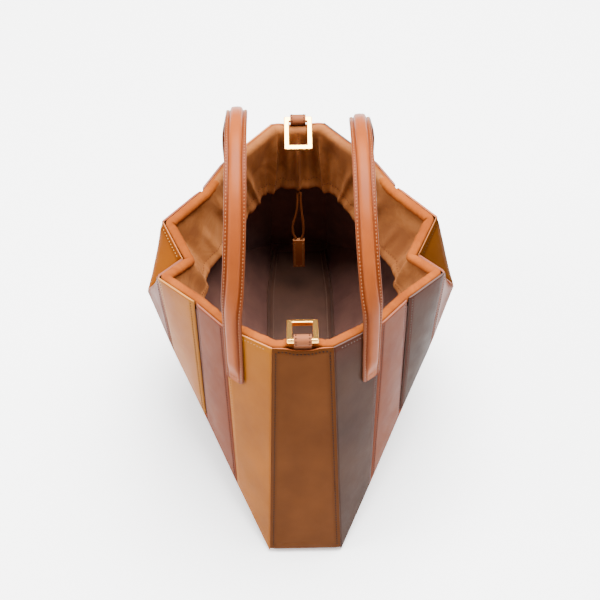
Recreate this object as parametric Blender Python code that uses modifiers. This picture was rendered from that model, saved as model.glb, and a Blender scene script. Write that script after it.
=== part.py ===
"""Pleated leather tote bag: flat boards of leather over a folded frame, suede collar, handles and rings."""

import math

import bpy
import numpy as np
from mathutils import Vector

MM = 0.001

# Leather and gaps, in millimetres
GAP = 0.3
BOARD = 2.4
BASE_THICK = 4.0
BASE_INSET = 2.5
BASE_EDGE = 0.8
LINING = 1.0
LINING_TOP_DROP = 11.0
LINING_ROWS = 8
LINING_PARTS = 4
CREASE_EASE = 0.5
FOLD_GAP = 0.8
HINGE_GAP = 3.4
FOOT_GAP = 0.6
CORNER_GAP = 0.4
MITRE_LIMIT = math.radians(42.0)
CREASE_SHARE = 0.8
BOARD_COLUMNS = 5
BOARD_ROWS = 9
FACET_COLUMNS = 33
FACET_ROWS = 3
FACET_END = 0.016
FACET_REACH = 0.8
LOW_FACET = 40.0
SLOPE_STEP = 0.06
SIDE_STEP = 0.05

# Suede collar: a padded roll inside the rim and a collar hanging from it
ROLL_RADIUS = 4.4
ROLL_INSET = 4.8
ROLL_DROP = 3.0
SUEDE = 2.2
HEM_RADIUS = 2.6
VALLEY_EXTRA = 2.4
VALLEY_REACH = 10.0
SHARPEST = 0.55
LOOP_RELIEF = 1.5
LOOP_RELIEF_HALF = 15.0
ROLL_ANGLES = (200, 160, 125, 90, 55, 20, -15, -45)
HEM_ANGLES = (40, -15, -70, -125, 180, 140)
SHEET_SHARES = (0.25, 0.6, 0.88)
COLLAR_STATIONS = (0.07, 0.36, 0.64, 0.93)

# Handles: the strap's half-width and thickness, its padded ridge, and its arc over the mouth
STRAP_HALF = 10.6
STRAP_THICK = 2.4
RIDGE_HALF = 5.4
RIDGE_RISE = 3.2
TAB_FROM_FOLD = 12.6
ARC_WIDTH = 0.92
ARC_SPRING_Z = 250.0
ARC_START_RISE = 16.0
ARC_START_REACH = 4.5
ARC_POWER = 1.3
ARC_TOP_X = 55.5
ARC_STEPS = 18
ARC_TURN_SHARE = 0.16
ARC_RISES = {"left": 110.0, "right": 94.0}
STRAP_SECTION = (
    # half-width, height from the back face, share of the padding's rise
    (-STRAP_HALF, 0.0, 0.0),
    (STRAP_HALF, 0.0, 0.0),
    (STRAP_HALF, STRAP_THICK, 0.0),
    (RIDGE_HALF + 1.6, STRAP_THICK + 0.1, 0.0),
    (RIDGE_HALF, STRAP_THICK + 0.1, 0.72),
    (RIDGE_HALF - 1.6, STRAP_THICK + 0.1, 0.97),
    (-RIDGE_HALF + 1.6, STRAP_THICK + 0.1, 0.97),
    (-RIDGE_HALF, STRAP_THICK + 0.1, 0.72),
    (-RIDGE_HALF - 1.6, STRAP_THICK + 0.1, 0.0),
    (-STRAP_HALF, STRAP_THICK, 0.0),
)
TAB_ROWS = (
    # distance below the rim, share of the width, share of the padding
    (52.0, 0.7, 0.0),
    (51.0, 0.9, 0.0),
    (48.5, 1.0, 0.0),
    (42.0, 1.0, 0.2),
    (34.0, 1.0, 0.8),
    (18.0, 1.0, 1.0),
    (1.0, 1.0, 1.0),
)

# Rings and the leather loops that hold them
RING_WIDTH = 28.0
RING_HEIGHT = 36.0
RING_BAR = 5.0
RING_THICK = 4.4
RING_ROUND = 1.2
RING_LEAN = math.radians(112.0)
LOOP_HALF = 7.8
LOOP_WALL = 1.5
LOOP_TAIL_HALF = 0.85
LOOP_NECK = 1.0
LOOP_NECK_SPREAD = 1.4
LOOP_OPENING = math.radians(24.0)
LOOP_STEPS = 14
LOOP_EYE_STEPS = 16
LOOP_CUT_EXTRA = 4.0
RING_PLACES = {
    # hinge axis, foot of the loop, lean of the ring
    "near": ((0.0, -139.6, 252.5), (0.0, -140.5, 238.5), -RING_LEAN),
    "far": ((0.0, 140.4, 252.5), (0.0, 141.3, 238.5), RING_LEAN),
}

# Each row is a fold: its name, the top point, and the bottom point, on the right-hand side
FOLDS = (
    # name, top x, top y, top z, bottom x, bottom y, bottom z
    ("corner_near", 26.4, -141.0, 244.6, 33.8, -201.0, 0.0),
    ("ridge_near_1", 69.1, -108.4, 234.8, 64.4, -148.9, 40.0),
    ("hinge_near", 96.5, -72.0, 225.5, 94.4, -96.5, 80.5),
    ("ridge_near_2", 132.8, -35.6, 218.5, 124.9, -47.3, 124.5),
    ("valley", 112.6, 1.0, 201.0, 148.8, -1.8, 159.0),
    ("ridge_far_2", 131.8, 34.8, 218.5, 144.0, 46.0, 140.0),
    ("hinge_far", 95.0, 71.2, 224.0, 103.0, 98.0, 90.0),
    ("ridge_far_1", 73.5, 102.5, 231.5, 68.0, 150.0, 43.0),
    ("corner_far", 25.9, 141.9, 244.6, 33.8, 201.0, 0.0),
)

# Each row is a strip between two folds: crease direction, outward swell, gap at its near and far side
STRIPS = (
    # crease, swell, near gap, far gap
    ("", 0.0, CORNER_GAP, FOLD_GAP),
    ("", 1.0, FOLD_GAP, HINGE_GAP),
    ("", 1.2, HINGE_GAP, 0.5),
    ("down", 0.5, 0.5, 0.6),
    ("up", 0.5, 0.6, 1.2),
    ("", 1.2, 1.2, HINGE_GAP),
    ("", 1.0, HINGE_GAP, FOLD_GAP),
    ("", 0.0, FOLD_GAP, CORNER_GAP),
)
FLOOR_TO_FOLD = BASE_THICK + GAP

# Lower edge of the suede collar: the middle of the near rim, under each fold, the middle of the far rim
HEM = (
    # x, y, z
    (0.0, -112.0, 152.0),
    (36.0, -112.0, 154.0),
    (66.0, -94.0, 152.0),
    (85.0, -66.0, 156.0),
    (94.0, -34.0, 158.0),
    (96.0, 4.0, 150.0),
    (90.0, 32.0, 150.0),
    (66.0, 74.0, 152.0),
    (45.0, 112.0, 157.0),
    (30.0, 129.0, 161.0),
    (0.0, 131.0, 163.0),
)

# Draw cord hanging under the far hem, one row per point; the tab hangs from both ends
CORD_RADIUS = 1.3
CORD_PARTS = 3
CORD_ROUTE = (
    # x, y, z
    (-3.4, 124.0, 93.0),
    (-6.4, 124.2, 101.0),
    (-6.8, 125.0, 113.0),
    (-3.4, 126.6, 129.0),
    (-1.6, 128.4, 144.0),
    (-1.4, 130.2, 156.0),
    (0.2, 130.6, 158.6),
    (1.9, 130.2, 156.0),
    (2.0, 128.4, 144.0),
    (3.2, 126.6, 129.0),
    (4.6, 125.0, 113.0),
    (4.2, 124.2, 101.0),
    (2.2, 124.0, 93.0),
)
TAB_SIZE = (13.0, 4.4, 44.0)
TAB_EDGE = 1.0

# Colours as linear red, green and blue
CARAMEL = (0.33, 0.115, 0.045)
HONEY = (0.56, 0.25, 0.04)
MAUVE = (0.34, 0.14, 0.11)
TAUPE = (0.16, 0.115, 0.095)
BRICK = (0.32, 0.085, 0.035)
BASE_BROWN = (0.2, 0.075, 0.035)
LINING_BROWN = (0.07, 0.03, 0.024)
SUEDE_ORANGE = (0.72, 0.21, 0.06)
STRAP_CARAMEL = (0.45, 0.15, 0.06)
GOLD_PLATE = (0.8, 0.5, 0.16)
LOOP_BROWN = (0.28, 0.12, 0.08)
CORD_BROWN = (0.3, 0.11, 0.05)
TAB_BROWN = (0.33, 0.12, 0.05)
STRIP_COLOURS = {
    "left": (HONEY, MAUVE, HONEY, MAUVE, HONEY, BRICK, MAUVE, HONEY),
    "right": (TAUPE, MAUVE, TAUPE, MAUVE, HONEY, CARAMEL, MAUVE, TAUPE),
}


def clear_scene():
    """Removes the objects and meshes that Blender starts with."""
    for obj in list(bpy.data.objects):
        bpy.data.objects.remove(obj)
    for mesh in list(bpy.data.meshes):
        bpy.data.meshes.remove(mesh)


def material(name, colour, roughness, metallic=0.0):
    """A plain finish of one linear colour."""
    made = bpy.data.materials.new(name)
    made.use_nodes = True
    shader = made.node_tree.nodes["Principled BSDF"]
    shader.inputs["Base Color"].default_value = (*colour, 1.0)
    shader.inputs["Roughness"].default_value = roughness
    shader.inputs["Metallic"].default_value = metallic
    made.diffuse_color = (*colour, 1.0)
    return made


def unit(vector):
    """The vector made one unit long."""
    return vector / np.linalg.norm(vector)


def in_world(point):
    """A point in fold-plane millimetres as world metres."""
    return (np.asarray(point, float) + np.array([0.0, 0.0, FLOOR_TO_FOLD])) * MM


def move_to(obj, collection):
    """Takes the object out of its collections and puts it in this one."""
    for holder in list(obj.users_collection):
        holder.objects.unlink(obj)
    collection.objects.link(obj)


def mesh_object(name, points, faces, finish, smooth=False):
    """Points in millimetres above the fold plane of the base become a mesh in metres."""
    mesh = bpy.data.meshes.new(name)
    mesh.from_pydata([tuple(in_world(p)) for p in points], [], faces)
    mesh.validate()
    mesh.polygons.foreach_set("use_smooth", [smooth] * len(mesh.polygons))
    obj = bpy.data.objects.new(name, mesh)
    mesh.materials.append(finish)
    BAG.objects.link(obj)
    return obj


def split_quads(faces, crease):
    """Each quad as two triangles whose shared edge runs along the crease."""
    split = []
    for a, b, c, d in faces:
        if crease == "down":
            split += [(a, b, d), (b, c, d)]
        elif crease == "up":
            split += [(a, b, c), (a, c, d)]
        else:
            split.append((a, b, c, d))
    return split


def grid_faces(columns, rows, start=0, wrap=False):
    """Quads of a grid of points, columns within rows; wrap joins the last column to the first."""
    faces = []
    for j in range(rows - 1):
        for i in range(columns if wrap else columns - 1):
            a = start + j * columns + i
            b = start + j * columns + (i + 1) % columns
            faces.append((a, b, b + columns, a + columns))
    return faces


class Patch:
    """A four-cornered piece of the folded frame, seen from outside, u from left to right and v upwards."""

    def __init__(self, corners, crease="", swell=0.0):
        """The corners run bottom left, bottom right, top right, top left."""
        self.corners = [np.array(c, float) for c in corners]
        self.crease = crease
        self.swell = swell
        middle = np.cross(
            self.corners[1] - self.corners[3],
            self.corners[2] - self.corners[0],
        )
        self.middle = unit(middle)

    def flat(self, u, v):
        """A point of the frame itself, bent along the crease where the patch has one."""
        low_left, low_right, top_right, top_left = self.corners
        smooth = (
            (1 - u) * (1 - v) * low_left
            + u * (1 - v) * low_right
            + u * v * top_right
            + (1 - u) * v * top_left
        )
        if self.crease == "down":
            if u + v <= 1:
                folded = low_left + u * (low_right - low_left) + v * (top_left - low_left)
            else:
                folded = (
                    top_right
                    + (1 - u) * (top_left - top_right)
                    + (1 - v) * (low_right - top_right)
                )
        elif self.crease == "up":
            if u >= v:
                folded = low_left + u * (low_right - low_left) + v * (top_right - low_right)
            else:
                folded = low_left + v * (top_left - low_left) + u * (top_right - top_left)
        else:
            return smooth
        return CREASE_SHARE * folded + (1 - CREASE_SHARE) * smooth

    def normal(self, u, v):
        """The outward direction at this place."""
        across = self.flat(u + SLOPE_STEP, v) - self.flat(u - SLOPE_STEP, v)
        upward = self.flat(u, v + SLOPE_STEP) - self.flat(u, v - SLOPE_STEP)
        return unit(np.cross(across, upward))

    def at(self, u, v, off=0.0):
        """A point this far outside the frame, with the patch's swell added."""
        inside_u = min(max(u, 0.0), 1.0)
        inside_v = min(max(v, 0.0), 1.0)
        rise = self.swell * 16 * inside_u * (1 - inside_u) * inside_v * (1 - inside_v)
        return self.flat(u, v) + self.normal(u, v) * (off + rise)


def mitre(patch, u, v, outward_u, outward_v, other_normal, off, gap):
    """How far a layer at this offset reaches past the fold line, so that two boards meet along it."""
    here = patch.normal(u, v)
    side = patch.flat(u, v) - patch.flat(u - outward_u * SIDE_STEP, v - outward_v * SIDE_STEP)
    turn = math.acos(min(1.0, float(here @ other_normal)))
    half = min(turn / 2, MITRE_LIMIT)
    if other_normal @ side < 0:
        half = -turn / 2
    return off * math.tan(half) - gap / 2


def rim_loop(columns, rows):
    """The indices round the outside of a grid of points, in order."""
    rim = list(range(columns))
    rim += [j * columns + columns - 1 for j in range(1, rows)]
    rim += [(rows - 1) * columns + i for i in reversed(range(columns - 1))]
    rim += [j * columns for j in reversed(range(1, rows - 1))]
    return rim


def rim_walls(columns, rows):
    """The faces that join the rims of two layers, the second stored after the first."""
    rim = rim_loop(columns, rows)
    layer = columns * rows
    walls = []
    for k, a in enumerate(rim):
        b = rim[(k + 1) % len(rim)]
        walls.append((a, b, b + layer, a + layer))
    return walls


def board(name, patch, neighbours, gaps, finish):
    """A leather board on one patch; neighbours give the next normal at its left, its right and below."""
    left, right, low = neighbours
    gap_left, gap_right, gap_low = gaps
    columns, rows = BOARD_COLUMNS, BOARD_ROWS
    points = []
    for off in (GAP, GAP + BOARD):
        for j in range(rows):
            v = j / (rows - 1)
            width = np.linalg.norm(patch.flat(1, v) - patch.flat(0, v))
            reach_left = mitre(patch, 0, v, -1, 0, left(v), off, gap_left) / width
            reach_right = mitre(patch, 1, v, 1, 0, right(v), off, gap_right) / width
            for i in range(columns):
                s = i / (columns - 1)
                u = -reach_left + s * (1 + reach_left + reach_right)
                height = np.linalg.norm(patch.flat(s, 1) - patch.flat(s, 0))
                reach_low = mitre(patch, s, 0, 0, -1, low(s), off, gap_low) / height
                points.append(patch.at(u, -reach_low + v * (1 + reach_low), off))
    inside = split_quads(grid_faces(columns, rows), patch.crease)
    faces = [tuple(reversed(face)) for face in inside]
    faces += split_quads(grid_faces(columns, rows, columns * rows), patch.crease)
    faces += rim_walls(columns, rows)
    return mesh_object(name, points, faces, finish)


def fold_points(side):
    """Tops and bottoms of the nine folds on one side; side is 1 for right, -1 for left."""
    flip = np.array([side, 1.0, 1.0])
    tops = [np.array(row[1:4]) * flip for row in FOLDS]
    bottoms = [np.array(row[4:7]) * flip for row in FOLDS]
    return tops, bottoms


class Underside:
    """The facet from the base's long edge up to the bottoms of the strips."""

    def __init__(self, side):
        """It joins the bottoms of this side's folds."""
        _, self.bottoms = fold_points(side)
        self.side = side

    def edge(self, share):
        """A point on the strips' bottom line, this share of the way from near to far."""
        place = min(max(share, 0.0), 1.0) * (len(self.bottoms) - 1)
        first = min(int(place), len(self.bottoms) - 2)
        part = place - first
        return (1 - part) * self.bottoms[first] + part * self.bottoms[first + 1]

    def base(self, share):
        """A point on the base's long edge."""
        return (1 - share) * self.bottoms[0] + share * self.bottoms[-1]

    def point(self, share, rise):
        """A point this share of the way up from the base's edge."""
        return (1 - rise) * self.base(share) + rise * self.edge(share)

    def normal(self, share):
        """The outward direction, held level close to the pointed ends."""
        share = min(max(share, SLOPE_STEP), 1 - SLOPE_STEP)
        along = self.base(share + SIDE_STEP) - self.base(share - SIDE_STEP)
        upward = self.edge(share) - self.base(share)
        return unit(np.cross(along, upward)) * self.side


def underside_board(name, facet, patches, finish):
    """The facet's board, as cross-rows between the base edge and the strips' bottom line."""
    columns, rows = FACET_COLUMNS, FACET_ROWS
    points = []
    for off in (GAP, GAP + BOARD):
        for j in range(rows):
            for i in range(columns):
                share = FACET_END + (1 - 2 * FACET_END) * i / (columns - 1)
                here = facet.normal(share)
                tall = np.linalg.norm(facet.edge(share) - facet.base(share))
                low_turn = math.acos(-float(here[2]))
                low = (off * math.tan(low_turn / 2) - GAP) / tall
                if tall < LOW_FACET:
                    low = min(low, 0.0)
                strip = patches[min(int(share * len(patches)), len(patches) - 1)]
                across = share * len(patches) % 1
                strip_normal = strip.normal(across if facet.side > 0 else 1 - across, 0.0)
                high_turn = min(math.acos(float(here @ strip_normal)) / 2, MITRE_LIMIT)
                high = (off * math.tan(high_turn) * FACET_REACH - FOOT_GAP) / tall
                place = -low + j / (rows - 1) * (1 + low + high)
                points.append(facet.point(share, place) + here * off)
    faces = [tuple(reversed(face)) for face in grid_faces(columns, rows)]
    faces += grid_faces(columns, rows, columns * rows)
    faces += rim_walls(columns, rows)
    if facet.side < 0:
        faces = [tuple(reversed(face)) for face in faces]
    return mesh_object(name, points, faces, finish)


def strip_patches(side):
    """The eight strips of one side as patches, near to far, each seen from outside."""
    tops, bottoms = fold_points(side)
    patches = []
    for k, (crease, swell, _, _) in enumerate(STRIPS):
        corners = [bottoms[k], bottoms[k + 1], tops[k + 1], tops[k]]
        if side < 0:
            corners = [corners[1], corners[0], corners[3], corners[2]]
            crease = {"down": "up", "up": "down", "": ""}[crease]
        patches.append(Patch(corners, crease, swell))
    return patches


def end_patches():
    """The near and far end panels as patches."""
    right_tops, right_bottoms = fold_points(1)
    left_tops, left_bottoms = fold_points(-1)
    near = Patch([left_bottoms[0], right_bottoms[0], right_tops[0], left_tops[0]])
    far = Patch([right_bottoms[-1], left_bottoms[-1], left_tops[-1], right_tops[-1]])
    return near, far


def side_normals(patch, u):
    """The function that gives the patch's normal up one of its sides."""

    def normal_at(v):
        return patch.normal(u, v)

    return normal_at


def foot_normals(facet, start, end):
    """The function that gives the facet's normal along one strip's foot, u from 0 to 1."""

    def normal_at(u):
        return facet.normal(start + (end - start) * u)

    return normal_at


def build_strips(side, label, patches, near, far, finishes):
    """The eight strips and the underside of one side."""
    facet = Underside(side)
    count = len(patches)
    for k, patch in enumerate(patches):
        before = patches[k - 1] if k else near
        after = patches[k + 1] if k + 1 < count else far
        gap_before, gap_after = STRIPS[k][2:]
        share_before, share_after = k / count, (k + 1) / count
        if side > 0:
            neighbours = (side_normals(before, 1), side_normals(after, 0))
            gaps = (gap_before, gap_after, FOOT_GAP)
            foot = foot_normals(facet, share_before, share_after)
        else:
            neighbours = (side_normals(after, 1), side_normals(before, 0))
            gaps = (gap_after, gap_before, FOOT_GAP)
            foot = foot_normals(facet, share_after, share_before)
        name = f"strip_{label}_{k + 1}"
        board(name, patch, (*neighbours, foot), gaps, finishes[name])
    name = f"underside_{label}"
    underside_board(name, facet, patches, finishes[name])


def build_boards(finishes):
    """All the leather boards; it returns the patches, for what lies on them."""
    near, far = end_patches()
    sides = {1: strip_patches(1), -1: strip_patches(-1)}
    for side, label in ((1, "right"), (-1, "left")):
        build_strips(side, label, sides[side], near, far, finishes)
    ends = (
        ("end_panel_near", near, sides[-1][0], sides[1][0]),
        ("end_panel_far", far, sides[1][-1], sides[-1][-1]),
    )
    for name, patch, left_patch, right_patch in ends:
        neighbours = (side_normals(left_patch, 1), side_normals(right_patch, 0), side_normals(patch, 0))
        board(name, patch, neighbours, (CORNER_GAP, CORNER_GAP, 0.0), finishes[name])
    return sides, near, far


def build_base(finish):
    """The stiff board that the bag stands on."""
    half_x = FOLDS[0][4] - BASE_INSET
    near_y = FOLDS[0][5] + BASE_INSET
    far_y = FOLDS[-1][5] - BASE_INSET
    bpy.ops.mesh.primitive_cube_add(size=1)
    base = bpy.context.object
    base.name = "base_panel"
    base.data.name = "base_panel"
    size = Vector((2 * half_x, far_y - near_y, BASE_THICK)) * MM
    for vertex in base.data.vertices:
        vertex.co = Vector(vertex.co[i] * size[i] for i in range(3))
    base.location = (0.0, (near_y + far_y) / 2 * MM, BASE_THICK / 2 * MM)
    base.data.materials.append(finish)
    move_to(base, BAG)
    edge = base.modifiers.new("edge", "BEVEL")
    edge.width = BASE_EDGE * MM
    edge.segments = 2
    return base


def plane_offset(point, normals, off):
    """The point moved so that it lies this far along every one of the normals."""
    rows = np.array(normals)
    return point + np.linalg.lstsq(rows, np.full(len(rows), off), rcond=1e-2)[0]


def lining_column(patches, k, end, facet, points):
    """One upright line of the lining's points, at step k round the side; it returns their indices."""
    place = k / LINING_PARTS
    last = min(int(place), len(patches) - 1)
    touching = [last - 1, last] if place == last and last > 0 else [last]
    patch = patches[last]
    across = place - last if facet.side > 0 else 1 - (place - last)
    tall = np.linalg.norm(patch.flat(across, 1) - patch.flat(across, 0))
    column = []
    for j in range(LINING_ROWS):
        v = j / (LINING_ROWS - 1) * (1 - LINING_TOP_DROP / tall)
        normals = []
        for t in touching:
            u = place - t if facet.side > 0 else 1 - (place - t)
            normals.append(patches[t].normal(u, v))
        if end is not None:
            normals.append(end.middle)
        if j == 0:
            normals.append(facet.normal(place / len(patches)))
        if j == 0 and end is not None:
            normals.append(DOWN)
        inset = GAP + (CREASE_EASE if patch.crease and j > 0 else 0.0)
        column.append(len(points))
        points.append(plane_offset(patch.flat(across, v), normals, -inset))
    return column


def lining_side(side, patches, near, far, points, faces):
    """One side of the lining; it returns the first and last column and the base edge."""
    facet = Underside(side)
    steps = len(patches) * LINING_PARTS
    ends = {0: near, steps: far}
    columns = []
    for k in range(steps + 1):
        columns.append(lining_column(patches, k, ends.get(k), facet, points))
    for k in range(steps):
        rising = STRIPS[k // LINING_PARTS][0] == "up"
        for j in range(LINING_ROWS - 1):
            a, b = columns[k][j], columns[k + 1][j]
            c, d = columns[k + 1][j + 1], columns[k][j + 1]
            split = [(a, b, c), (a, c, d)] if rising else [(a, b, d), (b, c, d)]
            faces += [tuple(reversed(face)) for face in split] if side < 0 else split
    base_edge = [columns[0][0]]
    for k in range(1, steps):
        base_edge.append(len(points))
        place = facet.base(k / steps)
        points.append(plane_offset(place, [facet.normal(k / steps), DOWN], -GAP))
    base_edge.append(columns[-1][0])
    for k in range(steps):
        quad = [columns[k][0], base_edge[k], base_edge[k + 1], columns[k + 1][0]]
        quad = [index for i, index in enumerate(quad) if index not in quad[:i]]
        faces.append(tuple(quad) if side > 0 else tuple(reversed(quad)))
    return columns[0], columns[-1], base_edge


def build_lining(sides, near, far, finish):
    """One shell inside all the boards: the folded frame moved inwards, then given its thickness."""
    points = []
    faces = []
    right = lining_side(1, sides[1], near, far, points, faces)
    left = lining_side(-1, sides[-1], near, far, points, faces)
    for end in (0, 1):
        for j in range(LINING_ROWS - 1):
            quad = (left[end][j], right[end][j], right[end][j + 1], left[end][j + 1])
            faces.append(tuple(reversed(quad)) if end else quad)
    faces.append(tuple(left[2] + list(reversed(right[2]))))
    obj = mesh_object("lining", points, faces, finish)
    wall = obj.modifiers.new("wall", "SOLIDIFY")
    wall.thickness = LINING * MM
    wall.offset = -1.0
    wall.use_even_offset = True
    wall.use_quality_normals = True
    return obj


def inner_loop(points, insets):
    """A closed plan outline moved inwards by the insets, keeping each corner's height."""
    moved = []
    for k, here in enumerate(points):
        first = unit((here - points[k - 1])[:2])
        second = unit((points[(k + 1) % len(points)] - here)[:2])
        first_in = np.array([-first[1], first[0]])
        middle = unit(first_in + np.array([-second[1], second[0]]))
        step = insets[k] / max(float(middle @ first_in), SHARPEST)
        moved.append(np.array([*(here[:2] + middle * step), here[2]]))
    return moved


def curve_point(rows, k, share):
    """A point on a smooth closed curve through the rows, this share of the way from row k to the next."""
    a, b, c, d = (rows[(k + i) % len(rows)] for i in (-1, 0, 1, 2))
    square = (2 * a - 5 * b + 4 * c - d) * share**2
    cube = (3 * b - a - 3 * c + d) * share**3
    return 0.5 * (2 * b + (c - a) * share + square + cube)


def mouth_points():
    """The rim's corners in plan order, with the middle of the near and the far rim."""
    right_tops = fold_points(1)[0]
    left_tops = fold_points(-1)[0]
    middle_near = (right_tops[0] + left_tops[0]) / 2
    middle_far = (right_tops[-1] + left_tops[-1]) / 2
    return [middle_near, *right_tops, middle_far, *reversed(left_tops)]


def collar_lines():
    """The roll's centre line and the hem's, with a point on each at every station round the mouth."""
    mouth = mouth_points()
    insets = []
    for place in mouth:
        insets.append(ROLL_INSET + (VALLEY_EXTRA if abs(place[1]) < VALLEY_REACH else 0.0))
    corners = inner_loop(mouth, insets)
    half = [np.array(row, float) for row in HEM]
    other_half = [row * np.array([-1.0, 1.0, 1.0]) for row in reversed(half[1:-1])]
    hem_rows = half + other_half
    roll = []
    hem = []
    for k, corner in enumerate(corners):
        after = corners[(k + 1) % len(corners)]
        for share in COLLAR_STATIONS:
            roll.append((1 - share) * corner + share * after)
            hem.append(curve_point(hem_rows, k, share))
    return roll, hem


def collar_section(top, low, ahead):
    """The closed section of the collar at one station: round the roll, down the sheet, round the hem."""
    up = np.array([0.0, 0.0, 1.0])
    inward = unit(np.array([-ahead[1], ahead[0], 0.0]))
    top = top - up * ROLL_DROP
    if abs(top[0]) < LOOP_RELIEF_HALF and abs(top[1]) > abs(HEM[1][1]) - LOOP_RELIEF_HALF:
        top = top + inward * LOOP_RELIEF
    fall = unit(low - top)
    sheet_in = unit(np.cross(fall, unit(ahead)))
    if sheet_in @ inward < 0:
        sheet_in = -sheet_in
    section = []
    for degrees in ROLL_ANGLES:
        turn = math.radians(degrees)
        section.append(top + ROLL_RADIUS * (inward * math.cos(turn) + up * math.sin(turn)))
    for share in SHEET_SHARES:
        section.append(top + (low - top) * share + sheet_in * SUEDE / 2)
    for degrees in HEM_ANGLES:
        turn = math.radians(degrees)
        section.append(low + HEM_RADIUS * (sheet_in * math.cos(turn) - fall * math.sin(turn)))
    for share in reversed(SHEET_SHARES):
        section.append(top + (low - top) * share - sheet_in * SUEDE / 2)
    return section


def build_collar(finish):
    """The padded roll round the mouth and the collar hanging inside it, as one closed loft."""
    roll, hem = collar_lines()
    stations = len(roll)
    points = []
    for k in range(stations):
        ahead = roll[(k + 1) % stations] - roll[k - 1]
        points += collar_section(roll[k], hem[k], ahead)
    size = len(points) // stations
    faces = grid_faces(size, stations, wrap=True)
    last = (stations - 1) * size
    for i in range(size):
        j = (i + 1) % size
        faces.append((last + i, last + j, j, i))
    faces = [tuple(reversed(face)) for face in faces]
    return mesh_object("suede_collar", points, faces, finish, smooth=True)


def tab_sections(patch, fold_u):
    """The flat end tab, tip first, as rows: centre, across, outward, width share, padding share."""
    rows = []
    height = np.linalg.norm(patch.flat(fold_u, 1) - patch.flat(fold_u, 0))
    for drop, width_share, padding in TAB_ROWS:
        v = 1 - drop / height
        width = np.linalg.norm(patch.flat(1, v) - patch.flat(0, v))
        u = fold_u + (1 if fold_u == 0 else -1) * TAB_FROM_FOLD / width
        outward = patch.normal(u, v)
        centre = patch.at(u, v, GAP + BOARD + GAP)
        across = patch.flat(1, v) - patch.flat(0, v)
        across = unit(across - outward * (across @ outward))
        rows.append((centre, across, outward, width_share, padding))
    return rows


def smooth_step(x):
    """A rise from 0 to 1 that starts and ends level."""
    x = min(max(x, 0.0), 1.0)
    return x * x * (3 - 2 * x)


def arc_sections(side, rise, near_tab, far_tab):
    """The strap's free arc between its two tabs, in the same rows as the tabs."""
    start, _, out_near = near_tab[:3]
    end, _, out_far = far_tab[:3]
    near_y = start[1] + ARC_START_REACH
    far_y = end[1] - ARC_START_REACH
    base_z = max(start[2], end[2]) + ARC_START_RISE
    x_axis = np.array([1.0, 0.0, 0.0])
    rows = []
    for k in range(ARC_STEPS + 1):
        t = k / ARC_STEPS
        swing = max(math.sin(math.pi * t), 0.0)
        y = (near_y + far_y) / 2 - (far_y - near_y) / 2 * math.cos(math.pi * t)
        z = base_z + (ARC_SPRING_Z + rise - base_z) * swing**ARC_POWER
        lean = smooth_step(swing)
        edge_x = abs(start[0]) * (1 - t) + abs(end[0]) * t
        x = side * (edge_x * (1 - lean) + ARC_TOP_X * lean)
        outward = unit(np.array([0.0, -math.cos(math.pi * t), swing]))
        near_part = smooth_step(t / ARC_TURN_SHARE)
        far_part = smooth_step((1 - t) / ARC_TURN_SHARE)
        outward = outward * near_part * far_part
        outward = unit(outward + out_near * (1 - near_part) + out_far * (1 - far_part))
        width_share = 1 - (1 - ARC_WIDTH) * near_part * far_part
        rows.append((np.array([x, y, z]), x_axis, outward, width_share, 1.0))
    return rows


def build_handle(name, side, rise, patches, finish):
    """A strap from the near strip's tab, over the mouth, to the far strip's tab."""
    near_fold = 1 if side > 0 else 0
    near_rows = tab_sections(patches[0], near_fold)
    far_rows = tab_sections(patches[-1], 1 - near_fold)
    rows = near_rows + arc_sections(side, rise, near_rows[-1], far_rows[-1]) + list(reversed(far_rows))
    points = []
    for k, (centre, _, outward, width_share, padding) in enumerate(rows):
        along = unit(rows[min(k + 1, len(rows) - 1)][0] - rows[max(k - 1, 0)][0])
        out = unit(outward - along * (outward @ along))
        across = np.cross(out, along)
        for half, height, lifted in STRAP_SECTION:
            level = height + lifted * RIDGE_RISE * padding
            points.append(centre + across * half * width_share + out * level)
    size = len(STRAP_SECTION)
    faces = grid_faces(size, len(rows), wrap=True)
    faces.append(tuple(reversed(range(size))))
    faces.append(tuple((len(rows) - 1) * size + i for i in range(size)))
    return mesh_object(name, points, faces, finish)


def build_ring(name, pivot, lean, finish):
    """A rectangular ring whose origin is the axis of the bar held in its loop."""
    bpy.ops.mesh.primitive_cube_add(size=1)
    frame = bpy.context.object
    bpy.ops.mesh.primitive_cube_add(size=1)
    hole = bpy.context.object
    sizes = (
        (frame, RING_WIDTH, RING_THICK, RING_HEIGHT),
        (hole, RING_WIDTH - 2 * RING_BAR, 3 * RING_THICK, RING_HEIGHT - 2 * RING_BAR),
    )
    for obj, wide, thick, tall in sizes:
        for vertex in obj.data.vertices:
            vertex.co = Vector((vertex.co.x * wide, vertex.co.y * thick, vertex.co.z * tall)) * MM
            vertex.co.z += (RING_HEIGHT - RING_BAR) / 2 * MM
        obj.location = in_world(pivot)
        obj.rotation_euler = (lean, 0.0, 0.0)
    move_to(frame, BAG)
    frame.name = name
    frame.data.name = name
    frame.data.materials.append(finish)
    corner = frame.modifiers.new("round corners", "BEVEL")
    corner.width = RING_ROUND * MM
    corner.segments = 3
    hole.name = name + "_cutter"
    cut_with(frame, hole, "opening")
    return frame


def cut_with(obj, cutter, label):
    """Cuts the cutter out of the object, and keeps it out of the render."""
    move_to(cutter, CUTTERS)
    cutter.hide_render = True
    cutter.display_type = "WIRE"
    cut = obj.modifiers.new(label, "BOOLEAN")
    cut.object = cutter
    cut.operation = "DIFFERENCE"
    cut.solver = "EXACT"


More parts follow.
